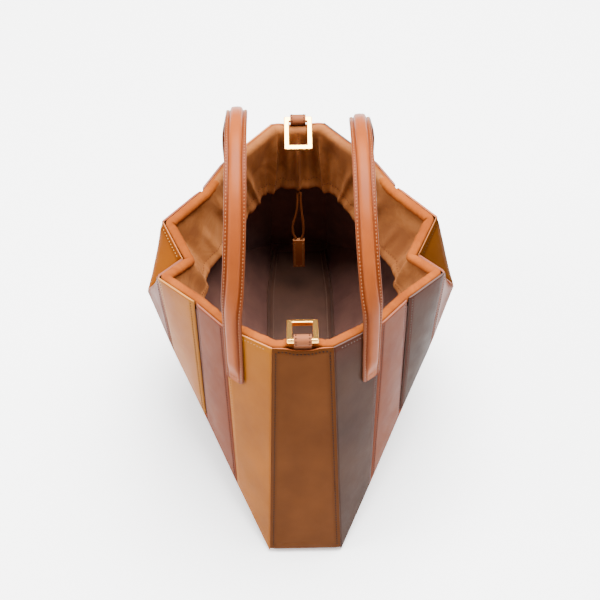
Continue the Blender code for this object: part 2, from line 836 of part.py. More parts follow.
def build_ring_loop(name, pivot, foot, finish):
    """A leather loop: one strap folded round the ring's bar, its two ends together down to the foot."""
    pivot = np.array(pivot)
    foot = np.array(foot)
    eye = math.hypot(RING_THICK, RING_BAR) / 2 + GAP
    toward = unit(foot - pivot)
    across = np.cross(np.array([1.0, 0.0, 0.0]), toward)
    neck = pivot + toward * (eye + LOOP_WALL + LOOP_NECK)
    outline = [foot - across * LOOP_TAIL_HALF, foot + across * LOOP_TAIL_HALF]
    outline.append(neck + across * LOOP_TAIL_HALF * LOOP_NECK_SPREAD)
    for k in range(1, LOOP_STEPS):
        turn = LOOP_OPENING + 2 * (math.pi - LOOP_OPENING) * k / LOOP_STEPS
        ray = toward * math.cos(turn) + across * math.sin(turn)
        outline.append(pivot + ray * (eye + LOOP_WALL))
    outline.append(neck - across * LOOP_TAIL_HALF * LOOP_NECK_SPREAD)
    hole = []
    for k in range(LOOP_EYE_STEPS):
        turn = 2 * math.pi * k / LOOP_EYE_STEPS
        hole.append(pivot + (toward * math.cos(turn) + across * math.sin(turn)) * eye)
    strap = profile_object(name, outline, LOOP_HALF, finish)
    cutter = profile_object(name + "_cutter", hole, LOOP_HALF + LOOP_CUT_EXTRA, finish)
    cut_with(strap, cutter, "eye")
    return strap


def profile_object(name, outline, half_width, finish):
    """An outline in the Y-Z plane drawn out along X to both sides, its faces outward."""
    area = 0.0
    for k, p in enumerate(outline):
        q = outline[(k + 1) % len(outline)]
        area += p[1] * q[2] - q[1] * p[2]
    if area < 0:
        outline = list(reversed(outline))
    count = len(outline)
    points = [p + np.array([-half_width, 0.0, 0.0]) for p in outline]
    points += [p + np.array([half_width, 0.0, 0.0]) for p in outline]
    faces = [tuple(reversed(range(count))), tuple(range(count, 2 * count))]
    for k in range(count):
        j = (k + 1) % count
        faces.append((k, j, j + count, k + count))
    return mesh_object(name, points, faces, finish)


def build_cord(finish):
    """The draw cord as a tube along its route."""
    curve = bpy.data.curves.new("draw_cord", "CURVE")
    curve.dimensions = "3D"
    curve.bevel_depth = CORD_RADIUS * MM
    curve.bevel_resolution = 2
    curve.use_fill_caps = True
    rows = [np.array(row) for row in CORD_ROUTE]
    rows = [2 * rows[0] - rows[1], *rows, 2 * rows[-1] - rows[-2]]
    route = []
    for k in range(1, len(rows) - 2):
        route += [curve_point(rows, k, part / CORD_PARTS) for part in range(CORD_PARTS)]
    route.append(rows[-2])
    line = curve.splines.new("POLY")
    line.points.add(len(route) - 1)
    for point, place in zip(line.points, route):
        point.co = (*in_world(place), 1.0)
    cord = bpy.data.objects.new("draw_cord", curve)
    curve.materials.append(finish)
    BAG.objects.link(cord)
    return cord


def build_cord_tab(finish):
    """The folded leather tab at the ends of the cord."""
    wide, thick, tall = TAB_SIZE
    bpy.ops.mesh.primitive_cube_add(size=1)
    tab = bpy.context.object
    tab.name = "cord_tab"
    tab.data.name = "cord_tab"
    for vertex in tab.data.vertices:
        x, y, z = vertex.co
        vertex.co = Vector((x * wide, y * thick, (z - 0.5) * tall)) * MM
    tab.data.materials.append(finish)
    move_to(tab, BAG)
    edge = tab.modifiers.new("edge", "BEVEL")
    edge.width = TAB_EDGE * MM
    edge.segments = 2
    first, last = CORD_ROUTE[0], CORD_ROUTE[-1]
    top = min(first[2], last[2]) - 2 * GAP
    tab.location = in_world(((first[0] + last[0]) / 2, first[1], top))
    return tab


def leather_finishes():
    """A finish for each strip, underside and end panel."""
    finishes = {}
    for label, colours in STRIP_COLOURS.items():
        for k, colour in enumerate(colours):
            name = f"strip_{label}_{k + 1}"
            finishes[name] = material("leather " + name, colour, 0.42)
        finishes[f"underside_{label}"] = material("leather underside " + label, BRICK, 0.45)
    for name in ("end_panel_near", "end_panel_far"):
        finishes[name] = material("leather " + name, CARAMEL, 0.4)
    return finishes


clear_scene()
DOWN = np.array([0.0, 0.0, -1.0])
BAG = bpy.data.collections.new("tote_bag")
CUTTERS = bpy.data.collections.new("cutters")
bpy.context.scene.collection.children.link(BAG)
bpy.context.scene.collection.children.link(CUTTERS)

SIDES, NEAR, FAR = build_boards(leather_finishes())
build_base(material("leather base", BASE_BROWN, 0.5))
build_lining(SIDES, NEAR, FAR, material("lining", LINING_BROWN, 0.8))
build_collar(material("suede", SUEDE_ORANGE, 0.95))
for strap_side, side_name in ((1, "right"), (-1, "left")):
    strap_finish = material("leather handle " + side_name, STRAP_CARAMEL, 0.38)
    build_handle("handle_" + side_name, strap_side, ARC_RISES[side_name], SIDES[strap_side], strap_finish)
GOLD = material("gold plate", GOLD_PLATE, 0.22, 1.0)
LOOP_LEATHER = material("leather loops", LOOP_BROWN, 0.45)
for place_name, (hinge_axis, loop_foot, ring_lean) in RING_PLACES.items():
    build_ring("ring_" + place_name, hinge_axis, ring_lean, GOLD)
    build_ring_loop("ring_loop_" + place_name, hinge_axis, loop_foot, LOOP_LEATHER)
build_cord(material("leather cord", CORD_BROWN, 0.6))
build_cord_tab(material("leather tab", TAB_BROWN, 0.5))
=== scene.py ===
# %% [markdown]
# # A pleated leather tote bag
# The bag is a folded frame of flat leather strips, with a padded suede roll round its mouth.
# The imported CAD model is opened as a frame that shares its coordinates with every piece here.
# Every visible piece but the lining is modelled again with finer edges, and stands for its CAD node.
# The stitches and the base insert are added to it.

import math

import bpy
import numpy as np
from mathutils import Matrix, Vector, noise

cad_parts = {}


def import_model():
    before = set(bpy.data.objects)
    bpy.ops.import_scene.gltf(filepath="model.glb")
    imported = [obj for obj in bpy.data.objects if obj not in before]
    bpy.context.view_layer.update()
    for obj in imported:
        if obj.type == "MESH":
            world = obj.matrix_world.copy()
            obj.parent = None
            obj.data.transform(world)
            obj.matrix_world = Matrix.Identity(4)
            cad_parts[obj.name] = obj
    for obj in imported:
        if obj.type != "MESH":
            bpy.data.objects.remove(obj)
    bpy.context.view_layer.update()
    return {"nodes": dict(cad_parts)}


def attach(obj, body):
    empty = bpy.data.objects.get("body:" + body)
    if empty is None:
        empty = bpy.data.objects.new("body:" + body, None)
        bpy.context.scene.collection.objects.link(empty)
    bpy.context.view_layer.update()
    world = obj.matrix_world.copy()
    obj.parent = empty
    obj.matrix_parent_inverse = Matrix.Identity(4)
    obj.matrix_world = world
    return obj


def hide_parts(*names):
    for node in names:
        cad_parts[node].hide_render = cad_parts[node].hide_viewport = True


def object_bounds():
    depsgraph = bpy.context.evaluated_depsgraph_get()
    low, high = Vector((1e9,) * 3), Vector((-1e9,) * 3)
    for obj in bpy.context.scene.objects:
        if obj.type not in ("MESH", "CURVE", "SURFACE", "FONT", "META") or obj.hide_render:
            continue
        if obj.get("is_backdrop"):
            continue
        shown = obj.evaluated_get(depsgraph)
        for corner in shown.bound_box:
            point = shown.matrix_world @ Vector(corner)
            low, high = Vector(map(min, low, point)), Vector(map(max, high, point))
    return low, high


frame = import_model()
print("frame opened:", len(frame["nodes"]), "nodes")

# %% [markdown]
# ## Sizes
# The strips meet at folds.
# Each row of the table gives one fold's top and bottom point on the right-hand side.
# These are the sizes of the CAD model, in millimetres above the fold plane of the base.
# The left-hand side mirrors them, so one table shapes both sides of the bag.

# %% Fold table
MM = 0.001
LIFT = 4.3
GAP = 0.3
BOARD = 2.4
MITRE_LIMIT = math.radians(42.0)
FOLDS = (
    # top x, top y, top z, bottom x, bottom y, bottom z
    (26.4, -141.0, 244.6, 33.8, -201.0, 0.0),
    (69.1, -108.4, 234.8, 64.4, -148.9, 40.0),
    (96.5, -72.0, 225.5, 94.4, -96.5, 80.5),
    (132.8, -35.6, 218.5, 124.9, -47.3, 124.5),
    (112.6, 1.0, 201.0, 148.8, -1.8, 159.0),
    (131.8, 34.8, 218.5, 144.0, 46.0, 140.0),
    (95.0, 71.2, 224.0, 103.0, 98.0, 90.0),
    (73.5, 102.5, 231.5, 68.0, 150.0, 43.0),
    (25.9, 141.9, 244.6, 33.8, 201.0, 0.0),
)
STRIPS = (
    # crease, swell, near gap, far gap, then whether the near side, the far side and the top are sewn
    ("", 0.0, 0.4, 0.8, False, True, True),
    ("", 1.0, 0.8, 5.4, True, True, False),
    ("", 1.2, 3.4, 0.5, True, True, False),
    ("down", 0.5, 0.5, 0.6, True, False, False),
    ("up", 0.5, 0.6, 1.2, False, True, True),
    ("", 1.2, 1.2, 3.4, False, True, False),
    ("", 1.0, 5.4, 0.8, False, True, False),
    ("", 0.0, 0.8, 0.4, True, False, True),
)
print("folds:", len(FOLDS), "strips a side:", len(STRIPS))

# %% [markdown]
# ## Small tools
# A material is a Principled shader with a few nodes before it.
# They could be joined by hand in the shader editor; here one function adds a node and joins its inputs.
# Colours are written as they look on a screen and turned into the linear values that light is summed in.

# %% Material tools


def linear(code):
    """A screen colour such as #A85E35 as linear red, green and blue."""
    parts = [int(code[i : i + 2], 16) / 255 for i in (1, 3, 5)]
    return tuple(c / 12.92 if c <= 0.04045 else ((c + 0.055) / 1.055) ** 2.4 for c in parts)


def add_node(tree, kind, values=None, links=None, **settings):
    """One shader node: its settings, its sockets' constants, and the outputs that feed it."""
    node = tree.nodes.new(kind)
    for name, value in settings.items():
        setattr(node, name, value)
    for name, value in (values or {}).items():
        node.inputs[name].default_value = value
    for name, output in (links or {}).items():
        tree.links.new(output, node.inputs[name])
    return node


def new_material(name):
    """An empty material with its Principled shader and the object's own coordinates."""
    made = bpy.data.materials.new(name)
    made.use_nodes = True
    tree = made.node_tree
    shader = tree.nodes["Principled BSDF"]
    place = add_node(tree, "ShaderNodeTexCoord").outputs["Object"]
    return made, tree, shader, place


def mixed_colour(tree, factor, first, second):
    """A colour that goes from the first to the second as the factor goes from 0 to 1."""
    mix = add_node(tree, "ShaderNodeMix", data_type="RGBA")
    mix.inputs["A"].default_value = (*first, 1.0) if isinstance(first, tuple) else (0, 0, 0, 1)
    mix.inputs["B"].default_value = (*second, 1.0)
    if not isinstance(first, tuple):
        tree.links.new(first, mix.inputs["A"])
    tree.links.new(factor, mix.inputs["Factor"])
    return mix.outputs["Result"]


def ramp(tree, value, low, high, to_low=0.0, to_high=1.0):
    """A value spread from one range to another and kept inside it."""
    node = add_node(
        tree,
        "ShaderNodeMapRange",
        {"From Min": low, "From Max": high, "To Min": to_low, "To Max": to_high},
        {"Value": value},
    )
    return node.outputs["Result"]


print("material tools ready")

# %% [markdown]
# ## Leather
# Smooth calf leather is tanned, dyed through, sprayed with pigment and pressed with a warm plate.
# The plate leaves a faint grain of cells about half a millimetre across, under a thin clear finish.
# The colour drifts a little over a few centimetres, because a hide takes dye unevenly.
# An image of leather would do too, but noise in the object's own space needs no picture and never repeats.

# %% Leather finish
GRAIN_CELLS = 1600.0
GRAIN_STRENGTH = 0.11
GRAIN_DEPTH = 0.00012
PORE_SCALE = 900.0
CREASE_SCALE = 60.0
CLOUD_SCALE = 22.0
CREASE_STRENGTH = 0.35
CREASE_DEPTH = 0.0006
# How far the sewn margins take their painted shade, the deeper tone where they turn away from the light.
MARGIN_SHADE = 0.85


def noise_at(tree, place, scale, detail, roughness=0.5, distortion=0.0):
    """Cloudy noise at this scale, in cells to the metre."""
    values = {"Scale": scale, "Detail": detail, "Roughness": roughness, "Distortion": distortion}
    return add_node(tree, "ShaderNodeTexNoise", values, {"Vector": place}).outputs["Fac"]


def bump(tree, height, strength, depth, normal=None):
    """A surface normal turned by this height, over an earlier bump if one is given."""
    links = {"Height": height}
    if normal is not None:
        links["Normal"] = normal
    values = {"Strength": strength, "Distance": depth}
    return add_node(tree, "ShaderNodeBump", values, links).outputs["Normal"]


def leather(name, colour, deep, seam, roughness=0.42, shine=0.03, coat=0.0):
    """Smooth leather: drifting colour, painted shade on the sewn margins in the seam colour, pressed grain
    and a thin clear coat.
    """
    made, tree, shader, place = new_material(name)
    tone = ramp(tree, noise_at(tree, place, CLOUD_SCALE, 4.0, 0.55), 0.32, 0.72)
    body = mixed_colour(tree, tone, linear(colour), linear(deep))
    # Painted shade: the sewn margins blend towards the seam colour, for their turn away from the light.
    sewn = add_node(tree, "ShaderNodeAttribute", attribute_name="margin_shade_share")
    painted_margin_shade = ramp(tree, sewn.outputs["Fac"], 0.0, 1.0, 0.0, MARGIN_SHADE)
    tree.links.new(mixed_colour(tree, painted_margin_shade, body, linear(seam)), shader.inputs["Base Color"])
    cells = add_node(tree, "ShaderNodeTexVoronoi", {"Scale": GRAIN_CELLS}, {"Vector": place})
    pores = noise_at(tree, place, PORE_SCALE, 3.0, 0.6)
    creases = noise_at(tree, place, CREASE_SCALE, 5.0, 0.6)
    half = add_node(tree, "ShaderNodeMath", {1: 0.5}, {0: pores}, operation="MULTIPLY").outputs[0]
    both = {0: cells.outputs["Distance"], 1: half}
    height = add_node(tree, "ShaderNodeMath", {}, both, operation="ADD").outputs[0]
    fine = bump(tree, height, GRAIN_STRENGTH, GRAIN_DEPTH)
    wide = bump(tree, creases, CREASE_STRENGTH, CREASE_DEPTH, fine)
    tree.links.new(wide, shader.inputs["Normal"])
    rough = ramp(tree, creases, 0.3, 0.7, roughness - 0.05, roughness + 0.07)
    tree.links.new(rough, shader.inputs["Roughness"])
    shader.inputs["IOR"].default_value = 1.5
    shader.inputs["Specular IOR Level"].default_value = shine
    shader.inputs["Coat Weight"].default_value = coat
    shader.inputs["Coat Roughness"].default_value = 0.32
    return made


print("leather finish ready")

# %% [markdown]
# ## Suede
# Suede is the flesh side of a hide, buffed with fine abrasive until short fibres stand up as a nap.
# The nap scatters light, so suede has almost no highlight.
# Where a hand stroked it one way or the other, it keeps paler and darker patches.
# Real fibres would be too many to model, so a very fine bump and a little sheen stand in for them.

# %% Suede finish
STROKE_SCALE = 26.0
NAP_SCALE = 1500.0


def suede(name, colour, deep, pale):
    """Hide buffed to a nap, with patches where it was stroked one way or the other."""
    made, tree, shader, place = new_material(name)
    strokes = noise_at(tree, place, STROKE_SCALE, 6.0, 0.62, 0.9)
    nap = noise_at(tree, place, NAP_SCALE, 2.0, 0.7)
    dark = ramp(tree, strokes, 0.36, 0.56, 0.62, 0.0)
    light = ramp(tree, strokes, 0.52, 0.74, 0.0, 0.55)
    fleck = ramp(tree, nap, 0.35, 0.75, 0.0, 0.22)
    body = mixed_colour(tree, dark, linear(colour), linear(deep))
    body = mixed_colour(tree, light, body, linear(pale))
    tree.links.new(mixed_colour(tree, fleck, body, linear(deep)), shader.inputs["Base Color"])
    fibres = bump(tree, nap, 0.55, 0.0004)
    tree.links.new(bump(tree, strokes, 0.5, 0.0012, fibres), shader.inputs["Normal"])
    shader.inputs["Roughness"].default_value = 0.95
    shader.inputs["Specular IOR Level"].default_value = 0.15
    shader.inputs["Sheen Weight"].default_value = 0.1
    shader.inputs["Sheen Roughness"].default_value = 0.45
    shader.inputs["Sheen Tint"].default_value = (*linear(pale), 1.0)
    return made


print("suede finish ready")

# %% [markdown]
# ## Lining cloth
# The lining is a close cloth glued down over a board, and it keeps soft ribs both ways, about 7 mm apart.
# Two crossed wave textures multiplied give the ribs to the light, and cost no geometry.

# %% Woven finish
RIB_SCALE = 45.4545455


def woven(name, colour, deep):
    """Closely woven cloth: crossed soft ribs, matte, with a little loft."""
    made, tree, shader, place = new_material(name)
    waves = []
    values = {"Scale": RIB_SCALE, "Distortion": 0.4}
    for direction in ("X", "Y"):
        wave = add_node(tree, "ShaderNodeTexWave", values, {"Vector": place}, bands_direction=direction)
        waves.append(wave.outputs["Fac"])
    crossed = add_node(tree, "ShaderNodeMath", {}, dict(enumerate(waves)), operation="MULTIPLY")
    tone = ramp(tree, noise_at(tree, place, 35.0, 5.0), 0.3, 0.7)
    tree.links.new(mixed_colour(tree, tone, linear(colour), linear(deep)), shader.inputs["Base Color"])
    tree.links.new(bump(tree, crossed.outputs[0], 0.12, 0.0002), shader.inputs["Normal"])
    shader.inputs["Roughness"].default_value = 0.7
    shader.inputs["Specular IOR Level"].default_value = 0.25
    shader.inputs["Sheen Weight"].default_value = 0.06
    shader.inputs["Sheen Roughness"].default_value = 0.5
    return made


print("woven finish ready")

# %% [markdown]
# ## Thread, painted edges and plated metal
# Thread and edge paint are one even colour; the gold is a thin polished plating over cast zinc alloy.
# A slight mottle in the roughness keeps each of them from looking like plastic.

# %% Even finish


def plain(name, colour, roughness, metallic=0.0, shine=0.12):
    """One even colour whose roughness varies by a twentieth either way."""
    made, tree, shader, place = new_material(name)
    mottle = noise_at(tree, place, 400.0, 3.0)
    rough = ramp(tree, mottle, 0.3, 0.7, roughness * 0.95, roughness * 1.05)
    tree.links.new(rough, shader.inputs["Roughness"])
    shader.inputs["Base Color"].default_value = (*linear(colour), 1.0)
    shader.inputs["Metallic"].default_value = metallic
    shader.inputs["Specular IOR Level"].default_value = shine
    return made


print("even finish ready")

# %% [markdown]
# ## The palette
# The strips are honey, mustard, tan, mauve, taupe, brick or caramel, and the end panels are caramel. Shaded
# mustard is mustard with painted shade, for the right side's fifth strip.
# Each leather has a body colour, a deeper one for its clouds, and one for the painted shade of its sewn
# margins.
# Edges are sealed with acrylic edge paint near the leather's own shade, and each leather has its own thread.

# %% Palette

LEATHER_TONES = {
    # body, clouds, painted shade of sewn margins, roughness, shine
    "caramel": ("#532D10", "#472409", "#472409", 0.38, 0.03),
    "honey": ("#7F4702", "#713A02", "#7D4A02", 0.4, 0.06),
    "mustard": ("#783F00", "#6A3400", "#5A2800", 0.4, 0.03),
    # Shaded mustard: the mustard leather darkened as painted shade for the less lit right side.
    "shaded mustard": ("#4A2500", "#3E1E00", "#361900", 0.4, 0.03),
    "tan": ("#7A450E", "#6A3A08", "#824B06", 0.4, 0.03),
    "mauve": ("#5E2C13", "#51220D", "#562510", 0.4, 0.03),
    "taupe": ("#372319", "#2C1A13", "#38190E", 0.42, 0.03),
    "brick": ("#4A1C09", "#3E1506", "#330E04", 0.4, 0.03),
}
PAINT_TONES = {
    "caramel": "#8C4A26",
    "honey": "#A06A34",
    "mustard": "#A8683C",
    # Shaded mustard: mustard's edge paint darkened as painted shade.
    "shaded mustard": "#8A5430",
    "tan": "#A5683E",
    "mauve": "#7E4A38",
    "taupe": "#4E3A34",
    "brick": "#7A3A20",
    "strap": "#5E2E14",
}
THREAD_TONES = {
    "caramel": "#0C0402",
    "honey": "#1E0E02",
    "mustard": "#9A7038",
    "shaded mustard": "#2E1602",
    # Shaded mustard: a darker thread as painted shade on the less lit right side.
    "tan": "#8A5E3A",
    "beige strap": "#875636",
    "mauve": "#140604",
    "taupe": "#4A3C36",
    "brick": "#4A1B0D",
    "suede": "#5A2C10",
    "lining": "#6A5244",
}
# Each leather's third colour is painted shade for sewn margins, used where a piece sets its margin shade
# share.
LEATHERS = {kind: leather(kind + " calf leather", *tones) for kind, tones in LEATHER_TONES.items()}
STRAP = leather("caramel strap leather", "#834017", "#743613", "#592409", 0.4, shine=0.07, coat=0.03)
LOOP = leather("mauve strap leather", "#824D31", "#703E25", "#66331D", 0.38)
TAB = leather("cord tab leather", "#7B411E", "#673416", "#602F12", 0.45)
CORD = leather("round cord leather", "#703C1F", "#5B3116", "#532A12", 0.6)
SUEDE_FINISH = suede("orange suede", "#895227", "#66381B", "#A36A3E")
# Painted light: the roll uses a copy of the collar's suede, recoloured deeper and more saturated for the
# light falling on it.
ROLL_SUEDE_RECOLOURED_FOR_LIGHT = suede("orange suede recoloured for the roll's light", "#84400D", "#6B2F07", "#955017")
LINING = woven("dark lining cloth", "#613F34", "#4F3029")
INSERT = woven("base insert cloth", "#4B2E21", "#3D2419")
GOLD = plain("polished gold plate", "#FFC468", 0.26, metallic=1.0, shine=0.5)
PAINT = {kind: plain(kind + " edge paint", tone, 0.45) for kind, tone in PAINT_TONES.items()}
THREAD = {kind: plain(kind + " thread", tone, 0.6) for kind, tone in THREAD_TONES.items()}
print("materials:", len(bpy.data.materials))

# %% [markdown]
# ## Shaping tools
# Every leather piece starts as a flat grid, the way it starts as a flat cut of hide.
# Its points are then laid on the folded frame, and thickness is added with a Solidify modifier.
# A strap starts the same way, its grid rolled round the section and carried along the strap's line.

# %% Shaping tools


def unit(vector):
    """The vector made one unit long."""
    return vector / np.linalg.norm(vector)


def smooth_step(x):
    """A rise from 0 to 1 that starts and ends level."""
    x = min(max(x, 0.0), 1.0)
    return x * x * (3 - 2 * x)


def world(points):
    """Fold-plane millimetres as world metres."""
    return (np.asarray(points, float) + np.array([0.0, 0.0, LIFT])) * MM


def select_only(obj):
    """Leaves this object alone selected and active."""
    bpy.ops.object.select_all(action="DESELECT")
    obj.select_set(True)
    bpy.context.view_layer.objects.active = obj


def flat_grid(name, columns, rows):
    """A flat grid with this many points each way, and the column and row of each of its points."""
    bpy.ops.object.select_all(action="DESELECT")
    bpy.ops.mesh.primitive_grid_add(x_subdivisions=columns - 1, y_subdivisions=rows - 1, size=1)
    obj = bpy.context.object
    obj.name = name
    obj.data.name = name
    flat = np.empty(len(obj.data.vertices) * 3)
    obj.data.vertices.foreach_get("co", flat)
    flat = flat.reshape(-1, 3)
    column = np.rint((flat[:, 0] + 0.5) * (columns - 1)).astype(int)
    row = np.rint((flat[:, 1] + 0.5) * (rows - 1)).astype(int)
    return obj, column, row


def lay_points(obj, points):
    """Moves the object's points to these places, in fold-plane millimetres."""
    obj.data.vertices.foreach_set("co", world(points).ravel())
    obj.data.update()


def apply_all(obj):
    """Applies the modifiers in order."""
    select_only(obj)
    for modifier in list(obj.modifiers):
        bpy.ops.object.modifier_apply(modifier=modifier.name)


def shade(obj, angle=35.0):
    """Smooth shading that keeps edges sharper than this angle."""
    select_only(obj)
    bpy.ops.object.shade_smooth_by_angle(angle=math.radians(angle))


def thicken(obj, wall, rim=0):
    """Gives a sheet this thickness in millimetres behind it, with this material slot on the cut edge."""
    made = obj.modifiers.new("thickness", "SOLIDIFY")
    made.thickness = wall * MM
    made.offset = -1.0
    made.material_offset_rim = rim
    apply_all(obj)


def round_edges(obj, width, segments, angle=30.0):
    """Rounds the edges sharper than this angle, by this width in millimetres."""
    made = obj.modifiers.new("rounded edge", "BEVEL")
    made.width = width * MM
    made.segments = segments
    made.limit_method = "ANGLE"
    made.angle_limit = math.radians(angle)
    apply_all(obj)


def mend(obj, merge=0.0, fill=False):
    """Joins points closer than this many metres, closes open ends if asked, and turns the faces outwards."""
    select_only(obj)
    bpy.ops.object.mode_set(mode="EDIT")
    bpy.ops.mesh.select_all(action="SELECT")
    if merge:
        bpy.ops.mesh.remove_doubles(threshold=merge)
    if fill:
        bpy.ops.mesh.fill_holes(sides=0)
    bpy.ops.mesh.normals_make_consistent(inside=False)
    bpy.ops.object.mode_set(mode="OBJECT")


def give_materials(obj, *materials):
    """Puts these materials in the object's slots, in order."""
    for material in materials:
        obj.data.materials.append(material)


print("shaping tools ready")

# %% [markdown]
# ## The folded frame
# A patch is one four-cornered piece of the frame, with u across it and v up it.
# The two strips at each valley bend along a diagonal crease: the mouth is pushed in there, the base is not.
# A blended surface through the corners softens the crease, as stiff leather does.

# %% Frame patches
CREASE_SHARE = 0.8
SLOPE_STEP = 0.06
SIDE_STEP = 0.05
TIP_SHARE = 0.06


class Patch:
    """A four-cornered piece of the folded frame, seen from outside."""

    def __init__(self, corners, crease="", swell=0.0):
        """Takes the corners, anticlockwise from low left, the crease's way and the swell in millimetres."""
        self.corners = [np.array(c, float) for c in corners]
        self.crease = crease
        self.swell = swell

    def flat(self, u, v):
        """The place on the patch before any swell."""
        low_left, low_right, top_right, top_left = self.corners
        smooth = (
            (1 - u) * (1 - v) * low_left
            + u * (1 - v) * low_right
            + u * v * top_right
            + (1 - u) * v * top_left
        )
        if self.crease == "down" and u + v <= 1:
            folded = low_left + u * (low_right - low_left) + v * (top_left - low_left)
        elif self.crease == "down":
            folded = top_right + (1 - u) * (top_left - top_right) + (1 - v) * (low_right - top_right)
        elif self.crease == "up" and u >= v:
            folded = low_left + u * (low_right - low_left) + v * (top_right - low_right)
        elif self.crease == "up":
            folded = low_left + v * (top_left - low_left) + u * (top_right - top_left)
        else:
            return smooth
        return CREASE_SHARE * folded + (1 - CREASE_SHARE) * smooth

    def width(self, v):
        """How wide the patch is at this height."""
        return float(np.linalg.norm(self.flat(1, v) - self.flat(0, v)))

    def height(self, u):
        """How tall the patch is at this place across it."""
        return float(np.linalg.norm(self.flat(u, 1) - self.flat(u, 0)))

    def normal(self, u, v):
        """The outward direction, taken over a short step so that a crease turns it gradually."""
        across = self.flat(u + SLOPE_STEP, v) - self.flat(u - SLOPE_STEP, v)
        upward = self.flat(u, v + SLOPE_STEP) - self.flat(u, v - SLOPE_STEP)
        return unit(np.cross(across, upward))

    def at(self, u, v, off=0.0):
        """The place this far outside the swollen patch."""
        inside_u = min(max(u, 0.0), 1.0)
        inside_v = min(max(v, 0.0), 1.0)
        rise = self.swell * 16 * inside_u * (1 - inside_u) * inside_v * (1 - inside_v)
        return self.flat(u, v) + self.normal(u, v) * (off + rise)


def fold_points(side):
    """Tops and bottoms of the folds on one side; side is 1 for right, -1 for left."""
    flip = np.array([side, 1.0, 1.0])
    return [np.array(r[:3]) * flip for r in FOLDS], [np.array(r[3:]) * flip for r in FOLDS]


def strip_patches(side):
    """The eight strips of one side, near to far, each seen from outside."""
    tops, bottoms = fold_points(side)
    patches = []
    for k, strip in enumerate(STRIPS):
        corners = [bottoms[k], bottoms[k + 1], tops[k + 1], tops[k]]
        crease = strip[0]
        if side < 0:
            corners = [corners[1], corners[0], corners[3], corners[2]]
            crease = {"down": "up", "up": "down", "": ""}[crease]
        patches.append(Patch(corners, crease, strip[1]))
    return patches


class Underside:
    """The facet from the base's long edge up to the bottoms of the strips."""

    def __init__(self, side):
        """Takes the side: 1 for right, -1 for left."""
        self.bottoms = fold_points(side)[1]
        self.side = side

    def edge(self, share):
        """A place along the bottoms of the strips, near to far."""
        place = min(max(share, 0.0), 1.0) * (len(self.bottoms) - 1)
        first = min(int(place), len(self.bottoms) - 2)
        part = place - first
        return (1 - part) * self.bottoms[first] + part * self.bottoms[first + 1]

    def base(self, share):
        """A place along the base's long edge, near to far."""
        return (1 - share) * self.bottoms[0] + share * self.bottoms[-1]

    def point(self, share, rise):
        """A place on the facet, from the base's edge up."""
        return (1 - rise) * self.base(share) + rise * self.edge(share)

    def normal(self, share):
        """The outward direction, which stays the same through each of the facet's narrow tips."""
        share = min(max(share, TIP_SHARE), 1 - TIP_SHARE)
        along = self.base(share + SIDE_STEP) - self.base(share - SIDE_STEP)
        upward = self.edge(share) - self.base(share)
        return unit(np.cross(along, upward)) * self.side


RIGHT_TOPS, RIGHT_BOTTOMS = fold_points(1)
LEFT_TOPS, LEFT_BOTTOMS = fold_points(-1)
NEAR = Patch([LEFT_BOTTOMS[0], RIGHT_BOTTOMS[0], RIGHT_TOPS[0], LEFT_TOPS[0]])
FAR = Patch([RIGHT_BOTTOMS[-1], LEFT_BOTTOMS[-1], LEFT_TOPS[-1], RIGHT_TOPS[-1]])
SIDES = {1: strip_patches(1), -1: strip_patches(-1)}
FACETS = {1: Underside(1), -1: Underside(-1)}
print("patches:", sum(len(p) for p in SIDES.values()) + 2)

# %% [markdown]
# ## Stitches
# Each seam is sewn with waxed thread at three stitches to the centimetre, so it reads as short dashes.
# One stitch is a small ball drawn out along the seam, and every seam repeats it, turned to follow the line.

# %% Stitch maker
STITCH_PITCH = 3.2
STITCH_LENGTH = 1.75
STITCH_WIDTH = 1.2
STITCH_FLAT = 0.8
STITCH_AIM = 0.6


def stitch_template():
    """Points and faces of one stitch, one unit long and wide."""
    bpy.ops.object.select_all(action="DESELECT")
    bpy.ops.mesh.primitive_uv_sphere_add(segments=6, ring_count=4, radius=0.5)
    ball = bpy.context.object
    points = np.array([v.co[:] for v in ball.data.vertices])[:, [2, 0, 1]]
    faces = [tuple(p.vertices) for p in ball.data.polygons]
    bpy.data.objects.remove(ball)
    return points, faces


TEMPLATE_POINTS, TEMPLATE_FACES = stitch_template()


def along_line(distance, lengths, values):
    """The value this far along a line whose points lie at these lengths."""
    return np.array([np.interp(distance, lengths, values[:, a]) for a in range(3)])


def stitched(name, lines, material):
    """One piece holding the stitches of several seams; a line is a list of (point, normal) in order."""
    points = []
    faces = []
    for line in lines:
        place = np.array([p for p, _ in line])
        normal = np.array([n for _, n in line])
        length = np.concatenate([[0], np.cumsum(np.linalg.norm(np.diff(place, axis=0), axis=1))])
        count = max(int(length[-1] / STITCH_PITCH), 1)
        for k in range(count):
            middle = (k + 0.5) * length[-1] / count
            centre = along_line(middle, length, place)
            ahead = along_line(middle + STITCH_AIM, length, place)
            behind = along_line(middle - STITCH_AIM, length, place)
            out = unit(along_line(middle, length, normal))
            along = unit(ahead - behind)
            across = unit(np.cross(out, along))
            start = len(points)
            for p in TEMPLATE_POINTS:
                points.append(
                    centre
                    + along * p[0] * STITCH_LENGTH
                    + across * p[1] * STITCH_WIDTH
                    + out * p[2] * STITCH_WIDTH * STITCH_FLAT
                )
            faces += [tuple(start + i for i in f) for f in TEMPLATE_FACES]
    mesh = bpy.data.meshes.new(name)
    mesh.from_pydata([tuple(p) for p in world(points)], [], faces)
    mesh.shade_smooth()
    obj = bpy.data.objects.new(name, mesh)
    bpy.context.scene.collection.objects.link(obj)
    mesh.materials.append(material)
    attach(obj, "bag")
    return obj


print("one stitch:", len(TEMPLATE_POINTS), "points")

